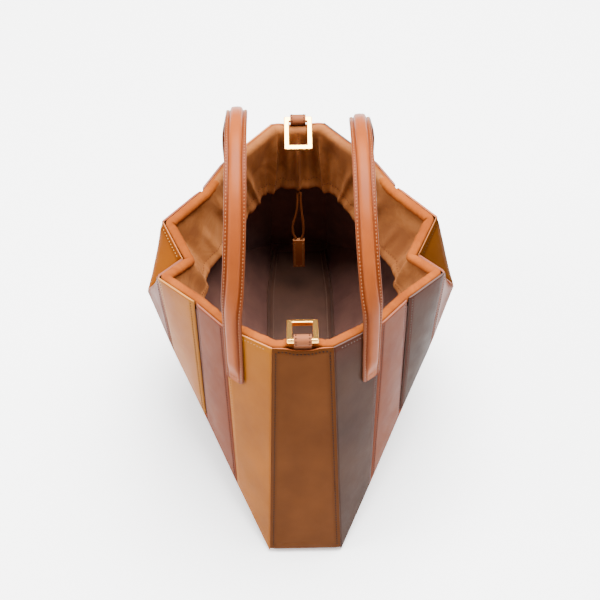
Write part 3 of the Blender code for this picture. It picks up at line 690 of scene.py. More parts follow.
# %% [markdown]
# ## Leather boards
# A strip is leather wrapped over a stiffener, so its long sides turn down a little before the next strip.
# The turned margin is sewn about three and a half millimetres in, and the thread pulls a shallow groove.
# The sewn margins get painted shade, a deeper tone where they turn away from the light, which makes each
# strip read as its own board.

# %% Leather boards
STITCH_IN = 3.6
MARGIN_TURN = 1.0
MARGIN_WIDE = 6.0
PLAIN_TURN = 0.45
PLAIN_WIDE = 2.2
GROOVE_DEEP = 0.22
GROOVE_HALF = 0.8
TOP_SHARE = 0.8
# Painted shade: tan and taupe strips deepen towards the mouth over this many millimetres, for the paler
# reflected sheen lower down.
TOP_SHADE_REACH = {"tan": 60.0, "taupe": 34.0}
TOP_SHADE_DEPTH = 0.8
END_DIP = 3.0
DIP_HALF = 0.24
SOFT_RISE = 0.7
SOFT_SCALE = 0.022
SOFT_MARGIN = 14.0
FOOT_GAP = 0.6
END_GAP = 0.4
THREAD_RISE = 0.12


def stations(length, fine=(0.0, 0.5, 1.2, 2.0, 2.9, 3.6, 4.3, 5.2, 6.6, 9.0), middle=7):
    """Shares of a width: close together near both sides, and even between them."""
    low = [d / length for d in fine if d < length * 0.42]
    steps = [low[-1] + (1 - 2 * low[-1]) * k / (middle + 1) for k in range(1, middle + 1)]
    return low + steps + [1 - s for s in reversed(low)]


def margin(distance, sewn):
    """How far the surface lies below the board's face, at this distance from a side."""
    turn, wide = (MARGIN_TURN, MARGIN_WIDE) if sewn else (PLAIN_TURN, PLAIN_WIDE)
    drop = turn * max(0.0, 1 - distance / wide) ** 2
    if sewn:
        drop += GROOVE_DEEP * math.exp(-(((distance - STITCH_IN) / GROOVE_HALF) ** 2))
    return drop


def reach(patch, u, v, out_u, out_v, other, off, gap):
    """How far a layer reaches past the fold line, so that two boards meet along it."""
    here = patch.normal(u, v)
    side = patch.flat(u, v) - patch.flat(u - out_u * SIDE_STEP, v - out_v * SIDE_STEP)
    turn = math.acos(min(1.0, float(here @ other)))
    half = min(turn / 2, MITRE_LIMIT)
    if other @ side < 0:
        half = -turn / 2
    return off * math.tan(half) - gap / 2


def side_normals(patch, u):
    """The function that gives the patch's normal up one of its sides."""
    return lambda v: patch.normal(u, v)


def foot_normals(facet, start, end):
    """The function that gives the facet's normal along one strip's foot, as u goes from 0 to 1."""
    return lambda u: facet.normal(start + (end - start) * u)


def dipped(share, dip):
    """How far a board's upper edge hangs at this share of its width, deepest in the middle."""
    return dip * math.exp(-(((share - 0.5) / DIP_HALF) ** 4))


def margin_shade_share(distances):
    """How much painted margin shade a point takes, from its distance to each sewn side."""
    return max((min(1.0, max(0.0, (MARGIN_WIDE + 1.0 - d) / 2.0)) for d in distances), default=0.0)


def board(patch, next_normals, gaps, sewn, kind, node, top_dip=0.0):
    """A leather board: an outer grid laid on the patch, then given its thickness and its painted edge."""
    left, right, low = next_normals
    across = stations(patch.width(0.5))
    upward = stations(patch.height(0.5), middle=16)
    obj, column, row = flat_grid(node + "_leather", len(across), len(upward))
    outer = np.empty((len(column), 3))
    inner = np.empty((len(column), 3))
    tone = np.empty(len(column))
    for k, (i, j) in enumerate(zip(column, row)):
        s, v = across[i], upward[j]
        width, height = patch.width(v), patch.height(s)
        from_left, from_right = s * width, (1 - s) * width
        from_low, from_top = v * height, (1 - v) * height
        drop = margin(from_left, sewn[0]) + margin(from_right, sewn[1])
        drop += margin(from_low, False) + margin(from_top, sewn[2]) * TOP_SHARE
        dip = dipped(s, top_dip) * v**6
        edge = min(from_left, from_right, from_low, from_top)
        sides = zip((from_left, from_right, from_top), sewn)
        # Painted shade: sewn margins take the deeper margin tone, and tan and taupe strips deepen towards
        # the mouth.
        top_shade = TOP_SHADE_DEPTH * smooth_step(1 - from_top / TOP_SHADE_REACH[kind]) if kind in TOP_SHADE_REACH else 0.0
        tone[k] = max(top_shade, margin_shade_share([distance for distance, is_sewn in sides if is_sewn]))
        for store, off in ((outer, GAP + BOARD), (inner, GAP)):
            out_left = reach(patch, 0, v, -1, 0, left(v), off, gaps[0]) / width
            out_right = reach(patch, 1, v, 1, 0, right(v), off, gaps[1]) / width
            out_low = reach(patch, s, 0, 0, -1, low(s), off, FOOT_GAP) / height
            u = -out_left + s * (1 + out_left + out_right)
            w = -out_low + v * (1 + out_low) - dip / height
            place = patch.at(u, w, off)
            if store is outer:
                soft = noise.noise(Vector(place * SOFT_SCALE)) * SOFT_RISE * min(1.0, edge / SOFT_MARGIN)
                place = place + patch.normal(s, v) * (soft - drop)
            store[k] = place
    lay_points(obj, outer)
    obj.data.attributes.new("margin_shade_share", "FLOAT", "POINT").data.foreach_set("value", tone)
    give_materials(obj, LEATHERS[kind], PAINT[kind])
    thicken(obj, BOARD, rim=1)
    if len(obj.data.vertices) == 2 * len(column):
        lay_points(obj, np.concatenate([outer, inner]))
    round_edges(obj, 0.4, 2, 50.0)
    shade(obj, 45.0)
    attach(obj, "bag")
    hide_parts(node)


SEAM_LEVEL = GAP + BOARD - margin(STITCH_IN, True) + THREAD_RISE
TOP_SEAM_LEVEL = GAP + BOARD - margin(STITCH_IN, True) * TOP_SHARE + THREAD_RISE


def side_seam(patch, left_side, gap, other):
    """The stitch line down one side of a board, as points with their normals."""
    line = []
    for k in range(41):
        v = 0.02 + 0.965 * k / 40
        edge_u = 0.0 if left_side else 1.0
        past = reach(patch, edge_u, v, -1 if left_side else 1, 0, other(v), GAP + BOARD, gap)
        inward = (STITCH_IN - past) / patch.width(v)
        u = inward if left_side else 1 - inward
        line.append((patch.at(u, v, SEAM_LEVEL), patch.normal(u, v)))
    return line


def top_seam(patch, low_share, high_share, dip=0.0):
    """The stitch line along a board's upper edge."""
    line = []
    for k in range(33):
        s = low_share + (high_share - low_share) * k / 32
        v = 1 - (STITCH_IN + dipped(s, dip)) / patch.height(s)
        line.append((patch.at(s, v, TOP_SEAM_LEVEL), patch.normal(s, v)))
    return line


KINDS = {
    # The right side's fifth strip is mustard, given as shaded mustard with painted shade.
    1: ("taupe", "mauve", "taupe", "mauve", "shaded mustard", "caramel", "mauve", "taupe"),
    -1: ("tan", "mauve", "honey", "mauve", "mustard", "brick", "mauve", "tan"),
}
seams = {kind: [] for kind in LEATHERS}
for side, label in ((1, "right"), (-1, "left")):
    patches = SIDES[side]
    facet = FACETS[side]
    count = len(patches)
    for k, patch in enumerate(patches):
        before = patches[k - 1] if k else NEAR
        after = patches[k + 1] if k < count - 1 else FAR
        _, _, gap_near, gap_far, sewn_near, sewn_far, sewn_top = STRIPS[k]
        kind = KINDS[side][k]
        if side > 0:
            left, right = side_normals(before, 1), side_normals(after, 0)
            low = foot_normals(facet, k / count, (k + 1) / count)
            gaps, sewn = (gap_near, gap_far), (sewn_near, sewn_far, sewn_top)
        else:
            left, right = side_normals(after, 1), side_normals(before, 0)
            low = foot_normals(facet, (k + 1) / count, k / count)
            gaps, sewn = (gap_far, gap_near), (sewn_far, sewn_near, sewn_top)
        board(patch, (left, right, low), gaps, sewn, kind, f"strip_{label}_{k + 1}")
        if sewn[0]:
            seams[kind].append(side_seam(patch, True, gaps[0], left))
        if sewn[1]:
            seams[kind].append(side_seam(patch, False, gaps[1], right))
        if sewn[2]:
            seams[kind].append(top_seam(patch, 0.12, 0.88))
ENDS = (
    ("end_panel_near", NEAR, SIDES[-1][0], SIDES[1][0]),
    ("end_panel_far", FAR, SIDES[1][-1], SIDES[-1][-1]),
)
for node, patch, left_patch, right_patch in ENDS:
    left, right, low = side_normals(left_patch, 1), side_normals(right_patch, 0), side_normals(patch, 0)
    board(patch, (left, right, low), (END_GAP, END_GAP), (True, True, True), "caramel", node, END_DIP)
    seams["caramel"].append(side_seam(patch, True, END_GAP, left))
    seams["caramel"].append(side_seam(patch, False, END_GAP, right))
    seams["caramel"].append(top_seam(patch, 0.07, 0.93, END_DIP))
for kind, lines in seams.items():
    if lines:
        stitched(kind + "_seam_stitches", lines, THREAD[kind])
print("boards and seams made")

# %% [markdown]
# ## Undersides and base
# The two triangular facets under the side strips are single pieces of brick leather.
# The base is a stiff leather-covered board, and the bag stands on it.

# %% Undersides and base
FACET_COLUMNS, FACET_ROWS = 65, 12
FACET_FROM = 0.016
LOW_GAP = 0.3
HIGH_GAP = 0.5
HIGH_SHARE = 0.8
SHALLOW = 40.0


def underside(name, side):
    """The triangular facet: rows run from the base's edge up to the strips, and stop short of their fold."""
    facet = FACETS[side]
    patches = SIDES[side]
    count = len(patches)
    obj, column, row = flat_grid(name, FACET_COLUMNS, FACET_ROWS)
    layers = {}
    for off in (GAP + BOARD, GAP):
        points = np.empty((len(column), 3))
        for k, (i, j) in enumerate(zip(column, row)):
            share = FACET_FROM + (1 - 2 * FACET_FROM) * i / (FACET_COLUMNS - 1)
            here = facet.normal(share)
            tall = float(np.linalg.norm(facet.edge(share) - facet.base(share)))
            strip = patches[min(int(share * count), count - 1)]
            u = share * count % 1 if side > 0 else 1 - share * count % 1
            low_turn = math.acos(-float(here[2]))
            high_turn = math.acos(float(here @ strip.normal(u, 0.0)))
            low = (off * math.tan(low_turn / 2) - LOW_GAP) / tall
            high = (off * math.tan(min(high_turn / 2, MITRE_LIMIT)) * HIGH_SHARE - HIGH_GAP) / tall
            low = min(low, 0.0) if tall < SHALLOW else low
            rise = -low + j / (FACET_ROWS - 1) * (1 + low + high)
            points[k] = facet.point(share, rise) + here * off
        layers[off] = points
    if side < 0:
        select_only(obj)
        bpy.ops.object.mode_set(mode="EDIT")
        bpy.ops.mesh.select_all(action="SELECT")
        bpy.ops.mesh.flip_normals()
        bpy.ops.object.mode_set(mode="OBJECT")
    lay_points(obj, layers[GAP + BOARD])
    give_materials(obj, LEATHERS["brick"], PAINT["brick"])
    thicken(obj, BOARD, rim=1)
    lay_points(obj, np.concatenate([layers[GAP + BOARD], layers[GAP]]))
    shade(obj, 40.0)
    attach(obj, "bag")
    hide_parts(f"underside_{'right' if side > 0 else 'left'}")


underside("underside_right_leather", 1)
underside("underside_left_leather", -1)

BASE_HALF = np.array([31.3, 200.5, 2.0])
BASE_MIDDLE = np.array([0.0, 0.0, 2.0])
bpy.ops.object.select_all(action="DESELECT")
bpy.ops.mesh.primitive_cube_add(size=2)
base = bpy.context.object
base.name = "base_leather"
for vertex in base.data.vertices:
    vertex.co = Vector(np.array(vertex.co) * BASE_HALF + BASE_MIDDLE) * MM
give_materials(base, LEATHERS["brick"])
round_edges(base, 0.9, 3)
shade(base)
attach(base, "bag")
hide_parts("base_panel")
print("undersides and base made")

# %% [markdown]
# ## Lining
# The lining is dark cloth glued to the backs of the boards, so it has their folds and no shape of its own.
# It is therefore a copy of the CAD shell with a cloth finish.

# %% Lining
shell = frame["nodes"]["lining"]
lining = shell.copy()
lining.data = shell.data.copy()
lining.name = "lining_cloth"
bpy.context.scene.collection.objects.link(lining)
lining.parent = None
lining.matrix_world = Matrix.Identity(4)
lining.data.transform(shell.matrix_world)
lining.hide_render = False
lining.data.materials.clear()
lining.data.materials.append(LINING)
shade(lining, 30.0)
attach(lining, "bag")
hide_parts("lining")
print("lining made")

# %% [markdown]
# ## Base insert
# A stiff strip covered with cloth lies along the bottom, and its long edges lean on the slopes beside it.
# It is a flat grid laid on the bottom and the slopes, with a stitch line along both long edges.

# %% Base insert
INSERT_THICK = 1.2
INSERT_ROWS = (
    # distance from the middle line, rise above the bottom
    (0.0, 0.0),
    (10.0, 0.0),
    (20.0, 0.0),
    (27.0, 0.1),
    (31.0, 0.6),
    (33.4, 2.2),
    (35.0, 4.4),
    (36.2, 6.3),
)
INSERT_END = 186.0
INSERT_LEVEL = GAP + 1.0 + 0.3 + INSERT_THICK
TAPER_FROM = 120.0
TAPER = 0.17
SLACK = 0.35
INSERT_SEAM_X = 30.2


def insert_narrow(y):
    """The share of its width that the insert keeps this far along the bag."""
    return 1 - TAPER * max(0.0, (abs(y) - TAPER_FROM) / (INSERT_END - TAPER_FROM))


insert_section = [(-x, z) for x, z in reversed(INSERT_ROWS[1:])] + list(INSERT_ROWS)
insert, column, row = flat_grid("base_insert", len(insert_section), 91)
insert_points = np.empty((len(column), 3))
for k, (i, j) in enumerate(zip(column, row)):
    x, z = insert_section[i]
    y = INSERT_END * (2 * j / 90 - 1)
    narrow = insert_narrow(y)
    slack = SLACK * noise.noise(Vector((x * 0.06, y * 0.03, 4.0)))
    insert_points[k] = (x * narrow, y, INSERT_LEVEL + z * narrow + slack * (abs(x) < 30))
lay_points(insert, insert_points)
give_materials(insert, INSERT)
thicken(insert, INSERT_THICK)
shade(insert, 40.0)
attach(insert, "bag")
insert_lines = []
for side in (1, -1):
    line = []
    for k in range(61):
        y = (INSERT_END - 4.0) * (2 * k / 60 - 1)
        place = np.array([side * INSERT_SEAM_X * insert_narrow(y), y, INSERT_LEVEL + 0.7])
        line.append((place, np.array([0.0, 0.0, 1.0])))
    insert_lines.append(line)
stitched("base_insert_stitches", insert_lines, THREAD["lining"])
print("base insert:", round(2 * INSERT_END), "mm long")

# %% [markdown]
# ## Suede collar
# The mouth is edged with a padded roll of suede, and a gathered collar of the same suede hangs inside it.
# At the far end the collar is drawn up over the roll and covers it.
# Both start as a flat grid rolled up both ways: each is a closed section carried round a closed line.
# The roll's line follows the mouth a little inside the boards, and the collar's lower edge the hem table.

# %% Suede roll and collar
ROLL_RADIUS = 4.4
ROLL_INSET = 4.8
ROLL_DROP = 3.0
SUEDE = 2.2
VALLEY_EXTRA = 0.8
VALLEY_REACH = 10.0
SHARPEST = 0.55
LOOP_RELIEF = 1.5
LOOP_RELIEF_HALF = 15.0
COVER_FROM = 50.0
COVER_OVER = 40.0
COVER_SHARE = 0.13
COVER_START = -0.8
RELIEF_BLEND = 3.0
STEPS = 36
AROUND_ROLL = 20
PLUMP = 1.02
BACK_FLAT = 1.09
SHEET_ROWS = 40
SHEET_FROM = 0.03
HEM_ROW = 34
GATHER_PUSH = 1.7
WAVES = (
    # height in mm, frequency round, seed, frequency down
    # the rows are broad waves, narrow ones, crisp ones at the hem and fine ones beside the roll
    (1.6, 0.030, 11.0, 0.7),
    (1.0, 0.085, 5.0, 1.2),
    (1.3, 0.20, 2.0, 0.4),
    (0.5, 0.42, 9.0, 1.0),
)
SAG = 0.6
WRAP_CLEAR = 1.05
COVER_FADE = 0.6
HEM_BULGE = 0.9
HEM_MIDDLE = 4.5
HEM_HALF = 3.6
PULL = 0.35
PULL_AT = 11.0
PULL_HALF = 0.9
HEM_LIFT = 0.1
HEM = (
    # x, y, z of the collar's lower edge: the near middle, below each fold on the right, the far middle
    (0.0, -112.0, 152.0),
    (36.0, -112.0, 154.0),
    (66.0, -94.0, 152.0),
    (85.0, -66.0, 156.0),
    (94.0, -34.0, 158.0),
    (96.0, 4.0, 150.0),
    (90.0, 32.0, 150.0),
    (66.0, 74.0, 152.0),
    (45.0, 112.0, 157.0),
    (30.0, 129.0, 161.0),
    (0.0, 131.0, 163.0),
)
GATHERS = (
    # place round the mouth in rows, push inwards in mm, half-width in rows, share down where it starts
    (0.6, 1.6, 0.10, 0.15),
    (1.05, 2.2, 0.13, 0.05),
    (1.7, -1.4, 0.15, 0.3),
    (2.3, 1.8, 0.12, 0.2),
    (3.0, -1.6, 0.16, 0.15),
    (3.5, 1.5, 0.10, 0.35),
    (4.05, 2.6, 0.20, 0.05),
    (5.0, 3.6, 0.28, 0.0),
    (6.0, -2.0, 0.18, 0.1),
    (6.45, 1.6, 0.10, 0.25),
    (7.1, 2.4, 0.14, 0.1),
    (7.65, -1.6, 0.12, 0.3),
    (8.2, 1.8, 0.10, 0.2),
    (8.75, 1.4, 0.12, 0.35),
    (9.05, 4.2, 0.16, 0.05),
    (9.45, -1.8, 0.14, 0.3),
    (10.0, 3.2, 0.09, 0.1),
)


def inner_loop(points, insets):
    """A closed plan outline moved inwards by the insets, keeping each corner's height."""
    moved = []
    for k, here in enumerate(points):
        first = unit((here - points[k - 1])[:2])
        second = unit((points[(k + 1) % len(points)] - here)[:2])
        first_in = np.array([-first[1], first[0]])
        middle = unit(first_in + np.array([-second[1], second[0]]))
        step = insets[k] / max(float(middle @ first_in), SHARPEST)
        moved.append(np.array([*(here[:2] + middle * step), here[2]]))
    return moved


def curve_between(a, b, c, d, share):
    """A point on a smooth curve through four points, this share of the way from the second to the third."""
    square = (2 * a - 5 * b + 4 * c - d) * share**2
    cube = (3 * b - a - 3 * c + d) * share**3
    return 0.5 * (2 * b + (c - a) * share + square + cube)


def smoothed(line, rounds):
    """A closed line with each point drawn towards its two neighbours."""
    for _ in range(rounds):
        line = 0.5 * line + 0.25 * (np.roll(line, 1, axis=0) + np.roll(line, -1, axis=0))
    return line


def gathered(place, t):
    """How far the gathers push the collar inwards, at this place round the mouth and share down."""
    push = 0.0
    for centre, depth, half_width, start in GATHERS:
        for middle in sorted({centre, len(mouth) - centre}):
            away = abs(place - middle)
            away = min(away, len(mouth) - away)
            fold = math.exp(-((away / half_width) ** 2))
            beside = math.exp(-((away / (2.2 * half_width)) ** 2))
            push += GATHER_PUSH * depth * (fold - 0.35 * beside) * smooth_step((t - start) / 0.35)
    return push


def waved(k, t, loose):
    """The collar's own waves at this place, from the table."""
    ruffle = max(0.0, (t - 0.72) / 0.28) ** 1.5
    near_roll = max(0.0, 1 - t / 0.3)
    wave = 0.0
    for share, (height, around, seed, down) in zip((loose, loose, ruffle, near_roll), WAVES):
        wave += height * share * noise.noise(Vector((k * around, seed, t * down)))
    return wave


def roll_ring(k, centre, inward):
    """The roll's section at step k: round, a little uneven, and flatter where it leans on the boards."""
    pinch = 0.14 * noise.noise(Vector((k * 0.19, 3.0, 0.0)))
    pinch += 0.10 * noise.noise(Vector((k * 0.55, 7.0, 0.0)))
    ring = []
    for m in range(AROUND_ROLL):
        angle = 2 * math.pi * m / AROUND_ROLL
        level, height = math.cos(angle), math.sin(angle)
        swell = ROLL_RADIUS * (PLUMP + pinch * (0.4 + 0.6 * max(0.0, level)))
        if level < 0:
            level = -BACK_FLAT * abs(level) ** 0.5
            height = math.copysign(abs(height) ** 0.5, height)
        ring.append(centre + swell * (inward * level + UP * height))
    return ring


def closed_loft(name, rings, material):
    """A grid whose points are laid on these closed rings, with its last row and column sewn to the first."""
    obj, column, row = flat_grid(name, len(rings[0]) + 1, len(rings) + 1)
    table = np.array(rings)
    lay_points(obj, table[row % len(rings), column % len(rings[0])])
    mend(obj, merge=0.00001)
    give_materials(obj, material)
    obj.data.shade_smooth()
    return obj


mouth = [
    (RIGHT_TOPS[0] + LEFT_TOPS[0]) / 2,
    *RIGHT_TOPS,
    (RIGHT_TOPS[-1] + LEFT_TOPS[-1]) / 2,
    *reversed(LEFT_TOPS),
]
insets = [ROLL_INSET + (VALLEY_EXTRA if abs(p[1]) < VALLEY_REACH else 0.0) for p in mouth]
corners = inner_loop(mouth, insets)
right_hem = [np.array(row, float) for row in HEM]
hem_rows = right_hem + [row * np.array([-1.0, 1.0, 1.0]) for row in reversed(right_hem[1:-1])]
ROUND = len(mouth) * STEPS
FAR_MIDDLE = ROUND // 2
roll_line = []
hem_line = []
for k in range(ROUND):
    segment, share = k // STEPS, k % STEPS / STEPS
    after = corners[(segment + 1) % len(corners)]
    roll_line.append((1 - share) * corners[segment] + share * after)
    around = [hem_rows[(segment + i) % len(hem_rows)] for i in (-1, 0, 1, 2)]
    hem_line.append(curve_between(*around, share))
roll_line = smoothed(np.array(roll_line), 2)
hem_line = smoothed(np.array(hem_line), 10)
UP = np.array([0.0, 0.0, 1.0])
roll_rings = []
skirt_rings = []
hem_seam = []
back_seam = []
for k in range(ROUND):
    top = roll_line[k] - UP * ROLL_DROP
    near_ahead = roll_line[(k + 2) % ROUND] - roll_line[k - 2]
    ahead = roll_line[(k + 10) % ROUND] - roll_line[k - 10]
    inward = unit(np.array([-near_ahead[1], near_ahead[0], 0.0]))
    beside_loop = LOOP_RELIEF_HALF + RELIEF_BLEND - abs(top[0])
    if beside_loop > 0 and abs(top[1]) > 100:
        top = top + inward * LOOP_RELIEF * min(1.0, beside_loop / 5)
    low = hem_line[k]
    fall = unit(low - top)
    sheet_in = unit(np.cross(fall, unit(ahead)))
    if sheet_in @ inward < 0:
        sheet_in = -sheet_in
    far = smooth_step((top[1] - COVER_FROM) / COVER_OVER)
    roll_rings.append(roll_ring(k, top, inward))
    tall = float(np.linalg.norm(low - top))
    inner_side, outer_side = [], []
    for row in range(SHEET_ROWS + 1):
        t = SHEET_FROM + (1 - SHEET_FROM) * row / SHEET_ROWS
        loose = math.sin(math.pi * min(0.86 * t, 1.0)) ** 0.8
        wave = waved(k, t, loose)
        wave += gathered(k / STEPS, t) * (0.25 + 0.75 * loose) * (1 + 0.8 * far)
        hung = t * (1 - far) + far * max(0.0, (t - COVER_SHARE) / (1 - COVER_SHARE))
        wrap = COVER_START + (math.pi / 2 - COVER_START) * min(1.0, t / COVER_SHARE)
        radial = inward * math.sin(wrap) + UP * math.cos(wrap)
        cover = far * smooth_step(1 - max(0.0, t - COVER_SHARE) / COVER_FADE)
        place = top + (low - top) * hung + sheet_in * (wave - SAG * loose)
        place = place + radial * WRAP_CLEAR * ROLL_RADIUS * cover
        face = unit(sheet_in * (1 - cover) + radial * cover)
        from_hem = (1 - t) * tall
        hem = HEM_BULGE * math.exp(-(((from_hem - HEM_MIDDLE) / HEM_HALF) ** 2))
        pull = PULL * math.exp(-(((from_hem - PULL_AT) / PULL_HALF) ** 2))
        rounding = 0.45 if row == SHEET_ROWS else 1.0
        thick = (SUEDE / 2 + hem - pull) * rounding
        inner_side.append(place + face * thick)
        outer_side.append(place - face * (SUEDE / 2 + hem * 0.5) * rounding)
        if row == HEM_ROW:
            hem_seam.append((place + face * (thick + HEM_LIFT), face))
        if k == FAR_MIDDLE:
            back_seam.append((place + face * (thick + HEM_LIFT), face))
    skirt_rings.append(inner_side + list(reversed(outer_side)))
# The roll's suede is the collar's suede recoloured as painted light.
roll = closed_loft("suede_roll", roll_rings, ROLL_SUEDE_RECOLOURED_FOR_LIGHT)
collar = closed_loft("suede_collar_sheet", skirt_rings, SUEDE_FINISH)
for obj in (roll, collar):
    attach(obj, "bag")
    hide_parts("suede_collar")
hem_stitches = stitched("suede_hem_stitches", [hem_seam + hem_seam[:1]], THREAD["suede"])
back_stitches = stitched("suede_back_seam_stitches", [back_seam[3:-3]], THREAD["suede"])

# %% [markdown]
# ## Handles
# Each handle is one strap from a strip at the near end to the strip at the far end.
# It is two leathers sewn over a cord, which raises the middle, and its ends are sewn flat to the strips.
# Its section is a short list of half-widths and heights, carried along the strap's line.

# %% Handles
STRAP_HALF = 10.6
RIDGE_RISE = 3.2
TAB_FROM_FOLD = 12.6
ARC_RISES = {"left": 110.0, "right": 94.0}
ARC_SPRING_Z = 250.0
ARC_START_RISE = 16.0
ARC_START_REACH = 4.5
ARC_POWER = 1.3
ARC_TOP_X = 55.5
ARC_WIDTH = 0.92
ARC_TURN_SHARE = 0.16
TAB_TIP = 52.0
TAB_ROUND = 3.0
TAB_PADDED = 47.0
PADDING_RUN = 17.0
ARC_STEPS = 72
SEAM_AT = 8.5
SEAM_LIFT = 2.2
END_SEAM_LIFT = 2.45
HALF_SECTION = (
    # half-width, height and share that the padding lifts, from the middle of the back round to the face
    (3.3, 0.0, 0.0),
    (9.8, 0.0, 0.0),
    (10.4, 0.35, 0.0),
    (10.6, 1.2, 0.0),
    (10.4, 1.95, 0.0),
    (10.0, 2.3, 0.0),
    (9.2, 2.4, 0.0),
    (8.5, 2.1, 0.0),
    (7.6, 2.2, 0.0),
    (6.6, 2.0, 0.0),
    (6.1, 2.3, 0.25),
    (5.5, 2.5, 0.62),
    (4.4, 2.4, 0.9),
    (2.5, 2.4, 0.98),
)
STRAP_SECTION = (
    *HALF_SECTION,
    (0.0, 2.4, 1.0),
    *((-half_width, height, lift) for half_width, height, lift in reversed(HALF_SECTION)),
)
PAINTED_HALF = 9.9


def tab_rows(patch, fold_u):
    """The flat end of a strap on a strip, tip first: centre, across, out, width share, padding share."""
    rows = []
    height = patch.height(fold_u)
    drops = [TAB_TIP - TAB_ROUND * (1 - math.cos(math.pi / 2 * i / 6)) for i in range(7)]
    drops += [TAB_TIP - TAB_ROUND - 3.0 * i for i in range(1, 17)]
    for drop in drops:
        v = 1 - drop / height
        u = fold_u + (1 if fold_u == 0 else -1) * TAB_FROM_FOLD / patch.width(v)
        out = patch.normal(u, v)
        centre = patch.at(u, v, GAP + BOARD + GAP)
        across = patch.flat(1, v) - patch.flat(0, v)
        across = unit(across - out * (across @ out))
        past = min((TAB_TIP - drop) / TAB_ROUND, 1.0)
        share = 1 - TAB_ROUND / STRAP_HALF * (1 - math.sqrt(1 - (1 - past) ** 2))
        padding = smooth_step((TAB_PADDED - drop) / PADDING_RUN)
        rows.append((centre, across, out, share, padding))
    return rows


def evened(line, rounds):
    """An open line with each inner point drawn towards its two neighbours."""
    for _ in range(rounds):
        line[1:-1] = 0.5 * line[1:-1] + 0.25 * (line[:-2] + line[2:])
    return line


def heading(line, k):
    """The direction of an open line at its point k."""
    return unit(line[min(k + 1, len(line) - 1)] - line[max(k - 1, 0)])


def handle_rows(side, rise):
    """The whole strap on one side: near tab, arc over the mouth, far tab."""
    patches = SIDES[side]
    near_fold = 1 if side > 0 else 0
    near = tab_rows(patches[0], near_fold)
    far = tab_rows(patches[-1], 1 - near_fold)
    start, _, out_near = near[-1][:3]
    end, _, out_far = far[-1][:3]
    rows = list(near)
    x_axis = np.array([1.0, 0.0, 0.0])
    base_z = max(start[2], end[2]) + ARC_START_RISE
    near_y, far_y = start[1] + ARC_START_REACH, end[1] - ARC_START_REACH
    for k in range(ARC_STEPS + 1):
        t = k / ARC_STEPS
        swing = max(math.sin(math.pi * t), 0.0)
        y = (near_y + far_y) / 2 - (far_y - near_y) / 2 * math.cos(math.pi * t)
        z = base_z + (ARC_SPRING_Z + rise - base_z) * swing**ARC_POWER
        lean = smooth_step(swing)
        x = side * ((abs(start[0]) * (1 - t) + abs(end[0]) * t) * (1 - lean) + ARC_TOP_X * lean)
        near_part = smooth_step(t / ARC_TURN_SHARE)
        far_part = smooth_step((1 - t) / ARC_TURN_SHARE)
        out = unit(np.array([0.0, -math.cos(math.pi * t), swing])) * near_part * far_part
        out = unit(out + out_near * (1 - near_part) + out_far * (1 - far_part))
        share = 1 - (1 - ARC_WIDTH) * near_part * far_part
        rows.append((np.array([x, y, z]), x_axis, out, share, 1.0))
    rows += list(reversed(far))
    line = evened(np.array([r[0] for r in rows]), 6)
    outs = evened(np.array([r[2] for r in rows]), 4)
    finished = []
    for k, row in enumerate(rows):
        along = heading(line, k)
        out = unit(outs[k] - along * (outs[k] @ along))
        finished.append((line[k], np.cross(out, along), out, row[3], row[4]))
    return finished


def strap(name, rows, node):
    """The strap's mesh, with its edges painted and the rest in strap leather."""
    columns = len(STRAP_SECTION)
    obj, column, row = flat_grid(name, columns + 1, len(rows))
    points = np.empty((len(column), 3))
    for k, (i, j) in enumerate(zip(column, row)):
        centre, across, out, share, padding = rows[j]
        half_width, height, lift = STRAP_SECTION[i % columns]
        points[k] = centre + across * half_width * share + out * (height + lift * RIDGE_RISE * padding)
    lay_points(obj, points)
    # Painted shade: the flat margins beside the raised ridge, out to the edges, take the strap's deeper
    # margin tone.
    tone = [smooth_step((abs(STRAP_SECTION[i % columns][0]) - 5.0) / 2.0) for i in column]
    obj.data.attributes.new("margin_shade_share", "FLOAT", "POINT").data.foreach_set("value", tone)
    give_materials(obj, STRAP, PAINT["strap"])
    for face in obj.data.polygons:
        widths = [abs(STRAP_SECTION[column[v] % columns][0]) for v in face.vertices]
        face.material_index = int(min(widths) > PAINTED_HALF)
    mend(obj, merge=0.00002, fill=True)
    shade(obj, 50.0)
    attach(obj, "bag")
    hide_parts(node)


handle_seams = []
for side, label in ((1, "right"), (-1, "left")):
    rows = handle_rows(side, ARC_RISES[label])
    strap(f"handle_{label}_strap", rows, f"handle_{label}")
    for way in (-1, 1):
        line = []
        for centre, across, out, share, padding in rows[6:-6]:
            line.append((centre + across * SEAM_AT * share * way + out * SEAM_LIFT, out))
        handle_seams.append(line)
    for centre, across, out, share, padding in (rows[6], rows[-7]):
        ends = [(centre + across * (SEAM_AT - 1.5) * way + out * END_SEAM_LIFT, out) for way in (-1, 1)]
        handle_seams.append(ends)
stitched("handle_stitches", handle_seams, THREAD["beige strap"])
print("handles made")

# %% [markdown]
# ## Rings and their loops
# A ring is cast as a rectangle in zinc alloy, polished, which rounds its edges a little, and gold plated.
# Its section is carried round a rounded rectangle, and it hinges in a leather loop behind the end panel.

# %% Rings and loops
RING_WIDTH = 28.0
RING_HEIGHT = 36.0
RING_BAR = 5.0
RING_THICK = 4.4
RING_ROUND = 1.6
RING_LEAN = math.radians(112.0)
INNER_ROUND = 0.3
BAR_ROUND = 0.8
LOOP_HALF = 7.8
LOOP_SEAM_IN = 1.8
LOOP_WALL = 1.5
LOOP_LEATHER = 0.8
LOOP_OPENING = math.radians(30.0)
TAIL_FROM = 1.5
TAIL_APART = 0.85
PIVOTS = {
    # hinge axis, foot of the loop, turn of the ring
    "near": ((0.0, -139.6, 252.5), (0.0, -140.5, 238.5), -RING_LEAN),
    "far": ((0.0, 140.4, 252.5), (0.0, 141.3, 238.5), RING_LEAN),
}


